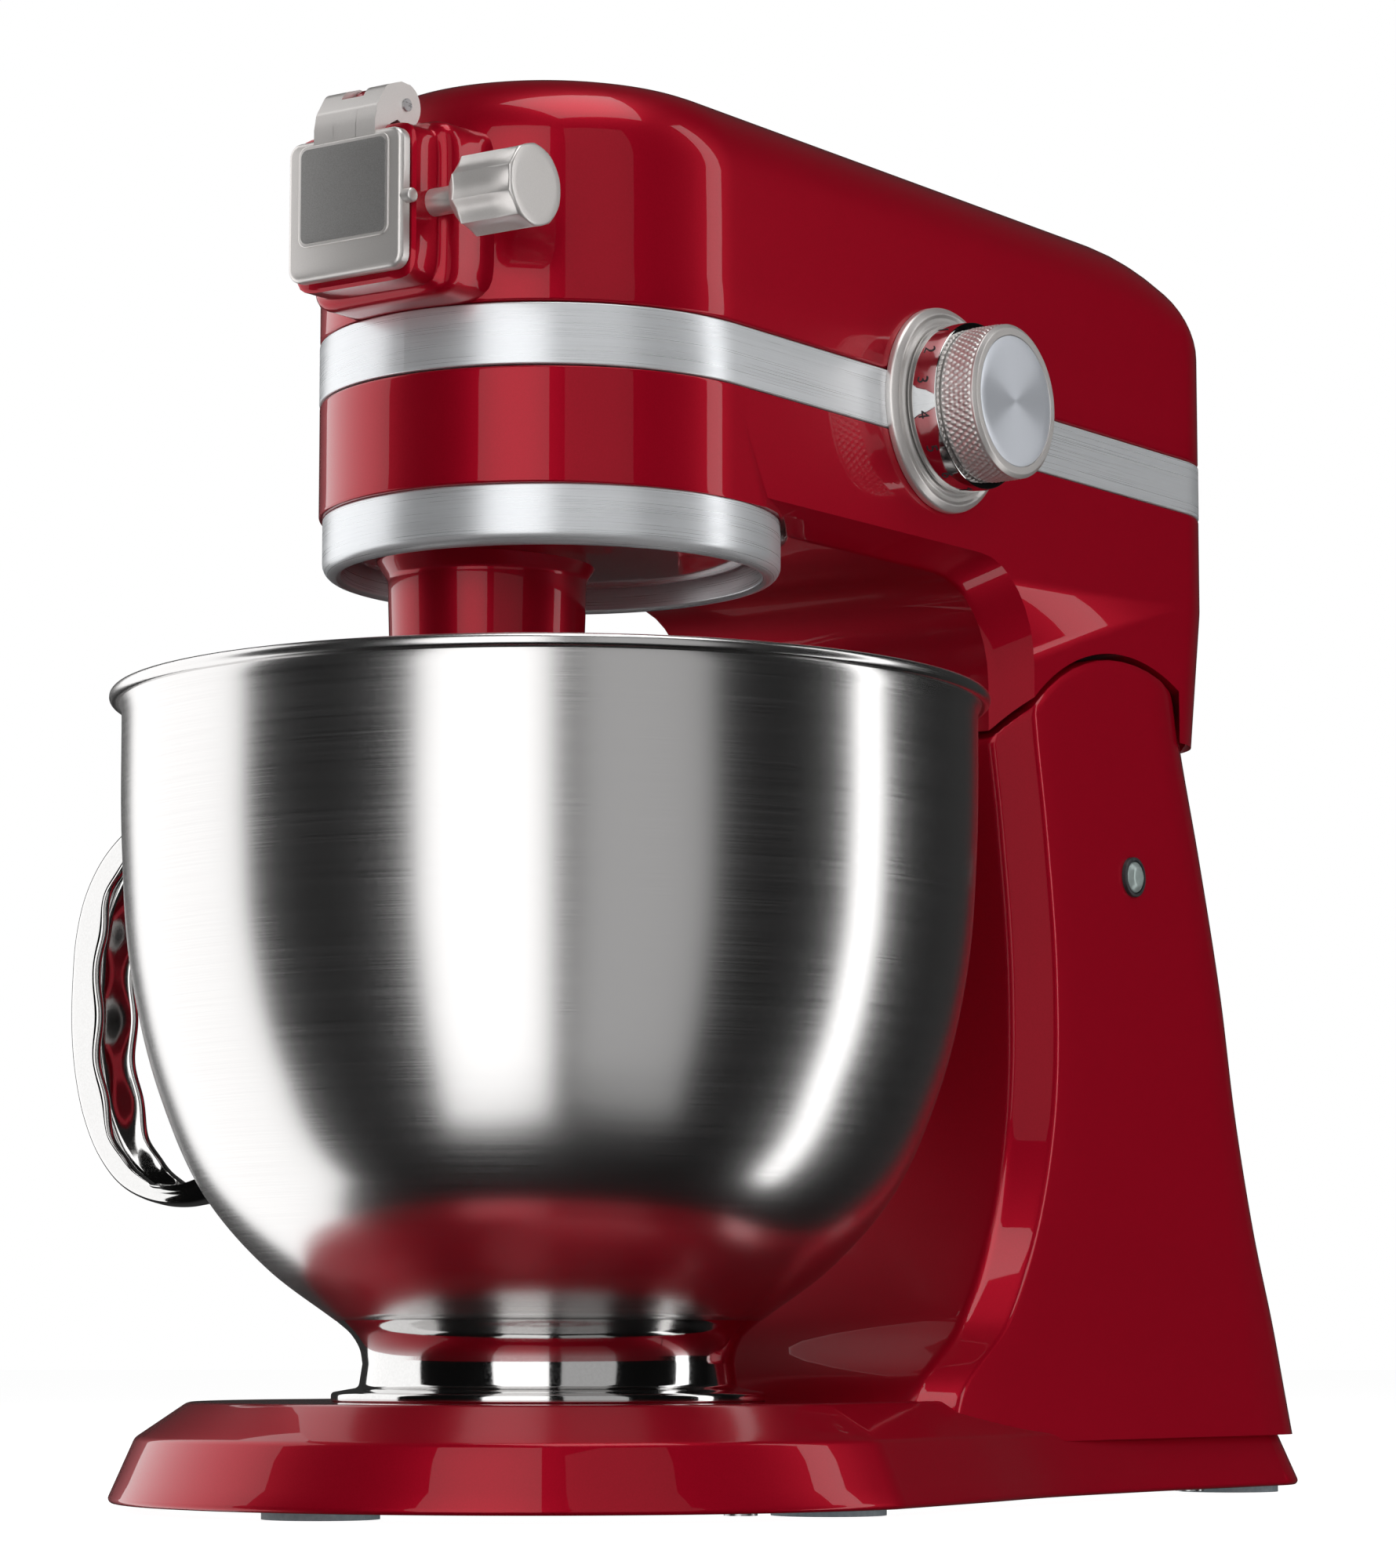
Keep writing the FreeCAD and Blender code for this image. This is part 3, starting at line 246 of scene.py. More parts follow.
def grain(tree, surface, stretch, centre=(0, 0, 0), rough=(0.2, 0.35), bump=0.1, depth=0.00002,
          shades=None, detail=3.0):
    # Noise stretched on the piece's own coordinates drives the roughness, a slight relief and,
    # where asked, a faint change of colour.
    new, link = tree.nodes.new, tree.links.new
    place3 = new("ShaderNodeTexCoord")
    turn = new("ShaderNodeMapping")
    turn.inputs["Location"].default_value = [-c * s for c, s in zip(centre, stretch)]
    turn.inputs["Scale"].default_value = stretch
    noise = new("ShaderNodeTexNoise")
    noise.inputs["Scale"].default_value = 1.0
    noise.inputs["Detail"].default_value = detail
    link(place3.outputs["Object"], turn.inputs["Vector"])
    link(turn.outputs["Vector"], noise.inputs["Vector"])
    spread = new("ShaderNodeMapRange")
    spread.inputs["From Min"].default_value = 0.3
    spread.inputs["From Max"].default_value = 0.7
    spread.inputs["To Min"].default_value = rough[0]
    spread.inputs["To Max"].default_value = rough[1]
    link(noise.outputs["Fac"], spread.inputs["Value"])
    link(spread.outputs["Result"], surface.inputs["Roughness"])
    relief = new("ShaderNodeBump")
    relief.inputs["Strength"].default_value = bump
    relief.inputs["Distance"].default_value = depth
    link(noise.outputs["Fac"], relief.inputs["Height"])
    link(relief.outputs["Normal"], surface.inputs["Normal"])
    if shades:
        ramp = new("ShaderNodeValToRGB")
        ramp.color_ramp.elements[0].position, ramp.color_ramp.elements[1].position = 0.3, 0.7
        ramp.color_ramp.elements[0].color = (*shades[0], 1)
        ramp.color_ramp.elements[1].color = (*shades[1], 1)
        link(noise.outputs["Fac"], ramp.inputs["Fac"])
        link(ramp.outputs["Color"], surface.inputs["Base Color"])


tree, surface = shader("painted_red", (0.38, 0.0006, 0.014), 0.55, 0.32, 1.0, 0.02, 1.3, 0.1)
grain(tree, surface, (2600, 2600, 2600), rough=(0.33, 0.4), bump=0.004,
      shades=((0.36, 0.0005, 0.012), (0.41, 0.0008, 0.016)))
tree, surface = shader("brushed_band", (0.76, 0.78, 0.8), 0.6, 0.3)
grain(tree, surface, (25, 12, 5200), rough=(0.26, 0.36), bump=0.03,
      shades=((0.72, 0.74, 0.76), (0.8, 0.82, 0.84)))
tree, surface = shader("brushed_steel", (0.66, 0.65, 0.64), 1.0, 0.24)
grain(tree, surface, (14, 14, 5200), rough=(0.2, 0.25), bump=0.01,
      shades=((0.64, 0.63, 0.625), (0.68, 0.67, 0.665)))
tree, surface = shader("polished_steel", (0.62, 0.615, 0.61), 1.0, 0.08)
grain(tree, surface, (1500, 1500, 1500), rough=(0.05, 0.1), bump=0.002,
      shades=((0.6, 0.595, 0.59), (0.64, 0.635, 0.63)))
tree, surface = shader("satin_nickel", (0.74, 0.71, 0.69), 0.75, 0.36)
grain(tree, surface, (3000, 3000, 3000), rough=(0.33, 0.39), bump=0.003,
      shades=((0.72, 0.69, 0.67), (0.76, 0.73, 0.71)))
tree, surface = shader("etched_panel", (0.3, 0.295, 0.29), 0.85, 0.5)
grain(tree, surface, (3500, 3500, 3500), rough=(0.42, 0.58), bump=0.05,
      shades=((0.25, 0.245, 0.24), (0.34, 0.335, 0.33)))
tree, surface = shader("grey_rubber", (0.2, 0.24, 0.26), 0.0, 0.7)
grain(tree, surface, (700, 700, 700), rough=(0.6, 0.8), bump=0.2,
      shades=((0.17, 0.21, 0.23), (0.24, 0.28, 0.30)))
tree, surface = shader("grey_button", (0.42, 0.5, 0.48), 0.6, 0.35)
grain(tree, surface, (800, 800, 800), rough=(0.28, 0.42), bump=0.05,
      shades=((0.37, 0.45, 0.43), (0.47, 0.55, 0.53)))
tree, surface = shader("steel", (0.5, 0.5, 0.51), 1.0, 0.3)
grain(tree, surface, (400, 400, 1500), rough=(0.22, 0.38), bump=0.1,
      shades=((0.44, 0.44, 0.45), (0.56, 0.56, 0.57)))
tree, surface = shader("cast_alloy", (0.42, 0.42, 0.43), 0.9, 0.5)
grain(tree, surface, (900, 900, 900), rough=(0.42, 0.62), bump=0.35, depth=0.0001,
      shades=((0.36, 0.36, 0.37), (0.48, 0.48, 0.49)))
tree, surface = shader("bronze", (0.5, 0.3, 0.12), 1.0, 0.35)
grain(tree, surface, (700, 700, 700), rough=(0.28, 0.42), bump=0.1,
      shades=((0.44, 0.25, 0.09), (0.56, 0.35, 0.15)))
tree, surface = shader("black_plastic", (0.02, 0.02, 0.022), 0.0, 0.45)
grain(tree, surface, (1200, 1200, 1200), rough=(0.36, 0.54), bump=0.15,
      shades=((0.014, 0.014, 0.016), (0.03, 0.03, 0.033)))
tree, surface = shader("belt_rubber", (0.03, 0.03, 0.03), 0.0, 0.75)
grain(tree, surface, (500, 500, 1500), rough=(0.65, 0.85), bump=0.3,
      shades=((0.02, 0.02, 0.02), (0.045, 0.045, 0.045)))
tree, surface = shader("board_green", (0.02, 0.16, 0.06), 0.0, 0.4)
grain(tree, surface, (300, 900, 900), rough=(0.3, 0.5), bump=0.1,
      shades=((0.015, 0.12, 0.045), (0.03, 0.2, 0.08)))
print("stand mixer: finishes made")

# ---- stand: base plate and column ----

pivotY, pivotZ = 188.0, 158.0
stand = {"front": 108.0, "frontY": -3.0, "rearHalf": 85.0, "rearY": 255.0, "rearCorner": 26.0,
         "bevelIn": 8.5, "bevelOut": 9.7, "drumRadius": 74.0, "rows": 110,
         "column": [(16, 60, 82, 253.5, 22), (25, 66, 80, 252.5, 20), (48, 101, 74, 252.5, 16),
                    (73, 125, 68, 252, 14), (107, 143, 62.5, 251, 13), (140, 148, 60, 249, 14),
                    (180, 145, 59, 242, 18), (212, 140, 58.7, 235, 22), (240, 138, 58.7, 228, 22)]}


def baseLoop():
    # A straight rear, a round rear corner, a side that draws in, and a round front.
    half, rear, corner = stand["rearHalf"], stand["rearY"], stand["rearCorner"]
    back = rounded([(0, rear), (half, rear, corner), (half, rear - corner - 1)], 12, 10)
    side = flowing([(half, rear - corner - 1), (86.2, 145), (90, 97), (97.9, 56),
                    (stand["front"], stand["frontY"])], 60)
    front = arc(0, stand["frontY"], stand["front"], 0, -90, 50)
    front[-1, 0] = 0
    return bothSides(np.concatenate([back, side[1:-1], front]))


def columnLoop(level):
    # One level of the column: round rear corners and a bevel inwards from the front crease.
    crease, half, rear, corner = level[1:]
    inner, front = half - stand["bevelIn"], crease - stand["bevelOut"]
    return bothSides(rounded([(0, rear), (half, rear, corner), (half, crease, 3.5), (inner, front, 4.5),
                              (0, front)], 6, 10))


def columnShape():
    # The levels are interpolated smoothly, each point of the outline is followed up to where it
    # meets the drum round the tilt pivot, and strips along the drum close the top.
    levels = flowing(stand["column"], 140)
    table = np.stack([columnLoop(level) for level in levels])
    heights = levels[:, 0]
    drum = stand["drumRadius"]
    top = pivotZ + np.sqrt(np.maximum(drum ** 2 - (table[:, :, 1] - pivotY) ** 2, 0))
    above = (heights[:, None] >= top) & (heights[:, None] > pivotZ)
    first = above.argmax(axis=0)
    n = table.shape[1]
    ends = top[first, np.arange(n)]
    rows = []
    for share in list(np.linspace(0, 1, stand["rows"])[:-1]) + [1.0]:
        z = heights[0] + share * (ends - 1.0 - heights[0])
        x = np.array([np.interp(z[j], heights, table[:, j, 0]) for j in range(n)])
        y = np.array([np.interp(z[j], heights, table[:, j, 1]) for j in range(n)])
        rows.append(np.stack([x, y, z], axis=1))
    last = rows[-1]
    side = outward(last[:, :2])
    for inset, lift in ((0.3, 0.7), (1.0, 1.0)):
        ring = last.copy()
        ring[:, :2] -= side * inset
        ring[:, 2] += lift
        rows.append(ring)
    rows = np.stack(rows)
    faces = gridFaces(len(rows), n).tolist() + [list(range(n - 1, -1, -1))]
    return rows.reshape(-1, 3), faces + stripFaces((len(rows) - 1) * n, n).tolist()


def armRoom():
    # Outline of the space the head's arm swings through: round below, a fan above.
    lean, limit, gap, reach = math.radians(20), math.radians(40), 10.5, 96
    line = [(pivotY - math.cos(lean) * gap, pivotZ - math.sin(lean) * gap)]
    for angle in np.linspace(-lean, limit - lean, 9):
        side = -gap if angle < 0 else gap
        side = side if abs(angle) > math.radians(19) else 0
        line.append((pivotY + reach * math.sin(angle) + side * math.cos(angle),
                     pivotZ + reach * math.cos(angle) - side * math.sin(angle)))
    back = limit - lean
    line.append((pivotY + math.cos(back) * gap, pivotZ - math.sin(back) * gap))
    under = arc(pivotY, pivotZ, 17, -10, -170, 16)
    return prismX(np.concatenate([np.array(line), under]), 25.5)


button = {"y": 190.7, "z": 171.0, "radius": 4.4}


def sideBore(radius, start, end):
    # A round bore along X, for the release button or for its rod.
    points, faces = prismX(arc(button["y"], button["z"], radius, 0, 352, 45), (end - start) / 2)
    return points + np.array([(start + end) / 2, 0, 0]), faces


loop = baseLoop()
plateProfile = np.concatenate([
    rounded([(14, 2.0), (0.0, 2.0, 1.2), (7.0, 18.0, 3.0), (20.0, 26.8, 4.0), (34.0, 26.8)], 5, 4)])
plate = sweepAround(loop, plateProfile)
recess = sweepAround(loop, np.array([[14, 22.0], [14, 2.0]]))
plateRings = np.concatenate([recess[:1], plate])
n = len(loop)
plateFaces = gridFaces(len(plateRings), n).tolist() + stripFaces(0, n).tolist()
plateFaces += stripFaces((len(plateRings) - 1) * n, n).tolist()
place("standColumn", columnShape(), "base", "painted_red", ["stand_casting"],
      [armRoom(), sideBore(1.7, 22, 41), sideBore(4.7, 40, 72)], crisp=40)
place("standPlate", (plateRings.reshape(-1, 3), plateFaces), "base", "painted_red", crisp=40)
print("stand mixer: stand made")

# ---- head ----

head = {"half": 58.7, "noseY": -60.2, "rearY": 250.0, "corner": 25.0, "top": 356.0, "edge": 23.0,
        "bandLow": 279.3, "bandHigh": 294.9, "wall": 3.0, "rearDrop": 0.27, "under": 246.5,
        "skirt": 75.5, "cove": 27.0}


def headLoop():
    # A half-round nose, straight sides and round rear corners.
    half = head["half"]
    return bothSides(rounded([(0, head["rearY"]), (half, head["rearY"], head["corner"]),
                              (half, head["noseY"], half - 0.01), (0, head["noseY"])], 34, 28))


def easeRear(rings):
    # Lowers the top towards the rear: the share taken off grows with the distance past y = 190.
    past = np.clip((rings[..., 1] - 190) / 60, 0, 1) ** 2.2
    low = head["bandHigh"]
    rings[..., 2] = low + (rings[..., 2] - low) * (1 - head["rearDrop"] * past)
    return rings


def upperShell():
    # Wall and quarter-round edge swept round the outline, outside and inside, closed on top by
    # strips and below by the rim between the two.
    low, top, edge, wall = head["bandHigh"], head["top"], head["edge"], head["wall"]
    bend = np.radians(np.linspace(0, 90, 15))
    outer = [(1.0, low + 0.25), (0.3, low + 0.5), (0, low + 1.2), (0, 305), (0, 320)]
    outer += list(zip(edge * (1 - np.cos(bend)), top - edge + edge * np.sin(bend)))
    inside = edge - wall
    inner = [(wall, low + 0.25), (wall, 320)]
    inner += list(zip(wall + inside * (1 - np.cos(bend)), top - wall - inside + inside * np.sin(bend)))
    loop = headLoop()
    a, b = easeRear(sweepAround(loop, np.array(outer))), easeRear(sweepAround(loop, np.array(inner)))
    rings = np.concatenate([a[::-1], b])
    n = len(loop)
    faces = gridFaces(len(rings), n).tolist() + stripFaces(0, n).tolist()
    return rings.reshape(-1, 3), faces + stripFaces((len(rings) - 1) * n, n).tolist()


def lowerShell():
    # Side views (y, z) carried across x: each is a closed outline whose nose, rear and bevelled
    # underside follow from its x.
    across = head["half"] * np.sin(np.radians(np.linspace(-89.9, 89.9, 121)))
    layers = []
    for x in across:
        far = abs(x)
        nose = -1.5 - math.sqrt(max(58.7 ** 2 - far ** 2, 0))
        ring = math.sqrt(max(59.8 ** 2 - far ** 2, 0)) + 0.5
        turn = 25 - math.sqrt(max(25 ** 2 - max(far - 33.7, 0) ** 2, 0))
        bevel = max(far - 50.2, 0) / 8.5
        under, front = head["under"] + 6 * bevel, 130.3 + 9.7 * bevel
        rear = head["rearY"] - turn
        foot = rear - 6
        skirtFront = pivotZ + math.sqrt(head["skirt"] ** 2 - (pivotY - front) ** 2)
        skirtRear = math.degrees(math.acos((foot - pivotY) / head["skirt"]))
        start = math.degrees(math.acos((front - pivotY) / head["skirt"]))
        top = head["bandLow"] - 0.25
        line = rounded([(rear, 265), (rear, top, 0.8), (nose, top, 0.8), (nose, 250, 0.8), (ring, 250),
                        (ring, under, 1.0), (front, under, head["cove"]), (front, skirtFront + 1)], 8, 7)
        line = np.concatenate([line, arc(pivotY, pivotZ, head["skirt"], start, skirtRear, 24),
                               rounded([(foot, pivotZ + 54), (rear, 252, 20), (rear, 258)], 8, 4)])
        layers.append(np.concatenate([np.full((len(line), 1), x), line], axis=1))
    n = len(layers[0])
    faces = gridFaces(len(layers), n).tolist()
    faces += [list(range(n)), list(range(len(layers) * n - 1, (len(layers) - 1) * n - 1, -1))]
    return np.stack(layers).reshape(-1, 3), faces


place("headUpper", upperShell(), "head", "painted_red", ["head_upper_shell"], crisp=50)
hollows = [lathe(np.array([(0, 240), (53.9, 240), (53.9, 283), (0, 283)], float), 96),
           boxOf(-55.6, 55.6, 0, 222, 253, 283),
           boxOf(-25.5, 25.5, 138, 205, 195, 258)]
place("headLower", lowerShell(), "head", "painted_red", ["head_lower_shell"], hollows, crisp=38)
bandProfile = rounded([(3.0, 287), (3.0, 279.4), (-0.1, 279.4, 0.5), (-0.1, 294.8, 0.5), (3.0, 294.8),
                       (3.0, 287.2)], 4, 2)
bandRings = sweepAround(headLoop(), bandProfile)
place("trimBand", (bandRings.reshape(-1, 3), gridFaces(len(bandRings), len(headLoop()), loopRows=True)),
      "head", "brushed_band", ["trim_band"])
ringProfile = rounded([(53.9, 243), (53.9, 236.0, 0.6), (55.4, 235.2, 0.6),
                       (58.7, 235.2, 3.6), (58.7, 250, 0.5),
                       (53.9, 250), (53.9, 244)], 7, 2)
place("planetaryRing", lathe(ringProfile, 180), "head", "brushed_band", ["planetary_ring"])
print("stand mixer: head made")

# ---- planetary disc with the spindle's boss ----

disc = {"low": 238.0, "offset": 16.5, "around": 215}
spindleX = disc["offset"] * math.cos(math.radians(disc["around"]))
spindleY = disc["offset"] * math.sin(math.radians(disc["around"]))
discProfile = np.concatenate([
    flowing([(0, disc["low"]), (28, disc["low"] + 0.7), (44, disc["low"] + 1.9),
             (50, disc["low"] + 3.2)], 24),
    rounded([(50.4, 241.4), (52, 243.4, 0.8), (52, 248, 0.6), (0, 248)], 4, 2)])
bossProfile = rounded([(9.2, 247), (9.2, 188), (11, 188, 1), (13, 200, 1.5), (24.4, 200, 2.5),
                       (25.5, 235, 3), (28.5, 239.6, 1.5), (28.5, 246), (9.4, 247)], 6, 3)
place("planetaryDisc", joined(lathe(discProfile, 160, closed=False),
                              lathe(bossProfile, 96, (spindleX, spindleY, 0))),
      "planetary", "painted_red", ["planetary_disc"], crisp=40)
print("stand mixer: planetary made")

# ---- bowl, foot and handle ----

bowl = {"wall": 0.9, "rimR": 110.4, "rimZ": 203.3, "bead": 1.7, "segments": 256,
        "side": [(53.5, 46.8), (70.5, 59.5), (86, 77), (98, 103), (105.5, 133), (108.4, 167), (108.9, 200)]}
outerSide = flowing(bowl["side"], 70)
slope = np.gradient(outerSide, axis=0)
slope /= np.linalg.norm(slope, axis=1)[:, None]
innerSide = outerSide + np.stack([-slope[:, 1], slope[:, 0]], axis=1) * bowl["wall"]
bead = arc(bowl["rimR"], bowl["rimZ"], bowl["bead"], -115, 165, 22)
bowlProfile = np.concatenate([[(0, 46.8), (30, 46.8)], outerSide, bead, innerSide[::-1],
                              [(30, 47.7), (0, 47.7)]])
place("bowlShell", lathe(bowlProfile, bowl["segments"], closed=False),
      "bowl", "brushed_steel", ["bowl"], crisp=50)
footProfile = np.concatenate([
    rounded([(44.7, 30), (44.7, 26.8), (54.5, 26.8, 0.4), (54.5, 29.0, 1.0), (47.6, 30.2, 1.4),
             (46.7, 36)], 5, 2),
    flowing([(46.7, 36.2), (47.3, 39.5), (49.4, 43.2), (53.5, 46.9)], 16), [(50.5, 46.9), (44.7, 36)]])
place("bowlFoot", lathe(footProfile, 200), "bowl", "polished_steel", ["bowl_foot"], crisp=50)

handle = {"turn": 5.5, "deep": 11.8, "thin": 4.6, "wave": 0.75, "fingers": 4,
          "path": [(96, 188.5), (106, 187.6), (116, 185.2), (128, 179.5), (138, 171), (144, 161),
                   (147, 150), (148, 138), (148, 124), (146.5, 112), (143.5, 101), (138.5, 91),
                   (131, 83), (122, 79), (110, 78), (98, 81), (86, 85)]}


def handleShape():
    # A channel with a round back and rolled lips carried along the bent path; it is deep along
    # the grip, shallow at both ends, and its lips follow a wave, one hollow for each finger.
    rows = 220
    path = flowing(handle["path"], rows)
    run = np.gradient(path, axis=0)
    run /= np.linalg.norm(run, axis=1)[:, None]
    inward = np.stack([run[:, 1], -run[:, 0]], axis=1)
    inward *= np.sign(inward[rows // 2, 0]) * -1
    s = np.linspace(0, 1, rows)
    grip = np.clip((s - 0.2) / 0.08, 0, 1) * np.clip((0.78 - s) / 0.08, 0, 1)
    wave = handle["wave"] * grip * np.cos(2 * math.pi * handle["fingers"] * (s - 0.22) / 0.54)
    full = np.sin(math.pi * np.clip((s - 0.1) / 0.72, 0, 1)) ** 0.7
    deep, base = handle["deep"], 3.4
    edge = rounded([(0, -0.9), (6.6, 0, 5.2), (9.4, deep, 1.2), (6.4, deep, 1.2),
                    (3.8, 2.4, 2.5), (0, 2.0)], 7, 3)
    section = np.concatenate([edge, edge[-2:0:-1] * [-1, 1]])
    lift = np.clip((section[:, 1] - base) / (deep - base), 0, 1)
    reach = (handle["thin"] - deep) * (1 - full) + wave
    depth = section[:, 1][None] + lift[None] * reach[:, None]
    r = path[:, 0][:, None] + inward[:, 0][:, None] * depth
    z = path[:, 1][:, None] + inward[:, 1][:, None] * depth
    turn = math.radians(handle["turn"])
    w = np.broadcast_to(section[:, 0][None], r.shape)
    points = np.stack([-r * math.cos(turn) + w * math.sin(turn),
                       -r * math.sin(turn) - w * math.cos(turn), z], axis=2)
    n = len(section)
    faces = gridFaces(rows, n).tolist() + [list(range(n)), list(range(rows * n - 1, (rows - 1) * n - 1, -1))]
    return points.reshape(-1, 3), faces


place("bowlHandle", handleShape(), "bowl", "polished_steel", ["bowl_handle"], crisp=55)
print("stand mixer: bowl made")

# ---- power hub ----

hub = {"z": 317.0, "bore": 15.0}


def hubHousing():
    # Rounded-square rings along y that step out and flare into the nose, returning as a round bore.
    count = 96
    t = np.linspace(0, 2 * math.pi, count, endpoint=False)
    rings = []
    for y, half, high, power in ((-80, 18.2, 18.7, 9), (-79.3, 19, 19.5, 9), (-71.4, 19, 19.5, 9),
                                 (-70.9, 19.3, 19.8, 9), (-70.3, 20.4, 20.6, 9),
                                 (-69.6, 21.4, 21.4, 8), (-68.6, 22, 21.9, 8), (-66, 22.3, 22, 8),
                                 (-59, 22.6, 22.1, 8), (-56, 23.4, 22.1, 8), (-53, 25.4, 22.1, 8),
                                 (-46, 26, 22.1, 8)):
        reach = (np.abs(np.cos(t)) ** power + np.abs(np.sin(t)) ** power) ** (-1 / power)
        rings.append(np.stack([half * reach * np.cos(t), np.full(count, y),
                               hub["z"] + high * reach * np.sin(t)], axis=1))
    for y, radius in ((-46, 13), (-68.3, 13), (-68.3, hub["bore"]), (-80, hub["bore"])):
        rings.append(np.stack([radius * np.cos(t), np.full(count, y),
                               hub["z"] + radius * np.sin(t)], axis=1))
    return np.stack(rings).reshape(-1, 3), gridFaces(len(rings), count, loopRows=True)


def softPlate(half, low, high, front, thick, corner, edge):
    # A plate seen from the front: a rounded rectangle whose edge is rounded by an inset profile.
    middle = (low + high) / 2
    tall = (high - low) / 2
    line = rounded([(0, tall), (half, tall, corner), (half, -tall, corner), (0, -tall)], 8, 6)
    loop = bothSides(line)
    bend = np.radians(np.linspace(0, 90, 6))
    profile = [(0, thick)] + [(edge * (1 - math.cos(a)), edge * (1 - math.sin(a))) for a in bend]
    profile = [(0.4, thick)] + [(0, thick - 0.4)] + profile[1:]
    rings = sweepAround(loop, np.array(profile))
    points = np.stack([rings[..., 0], front + rings[..., 2], middle + rings[..., 1]], axis=-1)
    n = len(loop)
    faces = gridFaces(len(points), n).tolist() + stripFaces(0, n).tolist()
    return points.reshape(-1, 3), faces + stripFaces((len(points) - 1) * n, n).tolist()


knuckle = rounded([(1.62, -3.2), (5.4, -3.2, 0.4), (5.4, 3.2, 0.4), (1.62, 3.2)], 3, 1)
place("hubHousing", joined(hubHousing(), lathe(knuckle, 48, (0, -72, 343), "x"),
                           boxOf(-3.1, 3.1, -76.5, -67.5, 334, 340.5)),
      "head", "painted_red", ["hub_housing"], crisp=40)


def hingeTab():
    # Side view of the tab that curves from the plate's top back over the hinge, between two cheeks.
    line = np.concatenate([
        rounded([(-84, 331), (-84, 337), (-83.2, 341, 3), (-79.6, 346.6, 4), (-74, 348.5)], 5, 2),
        arc(-72, 343, 5.5, 75, -95, 18),
        rounded([(-75.5, 338.6), (-78.3, 337.0, 2), (-80.3, 334), (-80.3, 331)], 4, 2)])
    right = prismX(line, 3.1)
    shift = np.array([6.6, 0, 0])
    bridge = rounded([(-84, 331), (-84, 337), (-83.2, 341, 3), (-81.0, 344.4), (-79.2, 342.0),
                      (-80.3, 336), (-80.3, 331)], 4, 2)
    return joined((right[0] + shift, right[1]), (right[0] - shift, right[1]), prismX(bridge, 3.6))


catchProfile = rounded([(0, 17), (1.8, 17), (1.8, 20.4, 0.6), (0, 20.4)], 3, 1)
catch = lathe(catchProfile, 24, (0, -82, 317), "x", closed=False)
place("hubCover", joined(softPlate(18, 299.5, 334.5, -84, 3.7, 3.5, 1.3), hingeTab(), catch),
      "hub_cover", "satin_nickel", ["hub_cover"], crisp=40)
place("hubPanelLip", joined(softPlate(14.3, 307.8, 333.2, -84.35, 0.9, 2.6, 0.35)),
      "hub_cover", "satin_nickel", crisp=40)
place("hubPanel", joined(softPlate(13.4, 308.7, 332.3, -84.5, 0.9, 2.0, 0.15)),
      "hub_cover", "etched_panel", ["hub_cover_panel"], crisp=40)


knob = {"x": 29, "y": -72.7, "z": 317, "flutes": 10}


def flutedKnob():
    # Radius over angle dips in ten round flutes, fading at both ends.
    count = 240
    t = np.linspace(0, 2 * math.pi, count, endpoint=False)
    flute = 1 - np.abs(np.cos(knob["flutes"] / 2 * t))
    profile = rounded([(3.45, 0), (6.8, 0, 0.8), (10.3, 3.4, 1.0), (10.3, 21.5, 0.9), (0, 21.5)], 5, 5)
    fade = np.clip(profile[:, 1] / 3.4, 0, 1) * np.clip((21.5 - profile[:, 1]) / 2.2, 0, 1)
    depth = fade[:, None] * (profile[:, 0] > 6)[:, None]
    rim = np.clip((profile[:, 0][:, None] - 6) / 4, 0, 1)
    r = profile[:, 0][:, None] - depth * (1 - flute[None]) * rim
    x = np.broadcast_to(knob["x"] + profile[:, 1][:, None], r.shape)
    points = np.stack([x, knob["y"] + r * np.cos(t), knob["z"] + r * np.sin(t)], axis=2)
    faces = gridFaces(len(profile), count).tolist() + [list(range(count - 1, -1, -1))]
    return points.reshape(-1, 3), faces


place("hubKnob", flutedKnob(), "hub_knob", "satin_nickel", ["hub_knob"], crisp=40)
print("stand mixer: power hub made")

# ---- speed dial ----

dial = {"y": 94.0, "z": 288.0, "digits": "12345678", "digitSize": 4.6,
        "stepDegrees": 24.0, "firstDegrees": 122.0}
dialCentre = (0, dial["y"], dial["z"])
flange = rounded([(3.05, 58.7), (27.5, 58.7, 0.3), (27.5, 60.6, 1.2), (25.6, 62.0, 0.6),
                  (24.6, 61.4, 0.4), (23.6, 61.4, 0.4),
                  (23.0, 62.0, 0.3), (3.05, 62.0)], 5, 1)
place("dialFlange", lathe(flange, 160, dialCentre, "x"),
      "head", "satin_nickel", ["dial_escutcheon"], crisp=50)
sleeve = rounded([(3, 62.3), (22.6, 62.3, 0.5), (22.2, 71.0, 0.4), (3, 71.0)], 4, 3)
place("dialSleeve", lathe(sleeve, 160, dialCentre, "x"),
      "speed_dial", "polished_steel", ["dial_scale"], crisp=50)


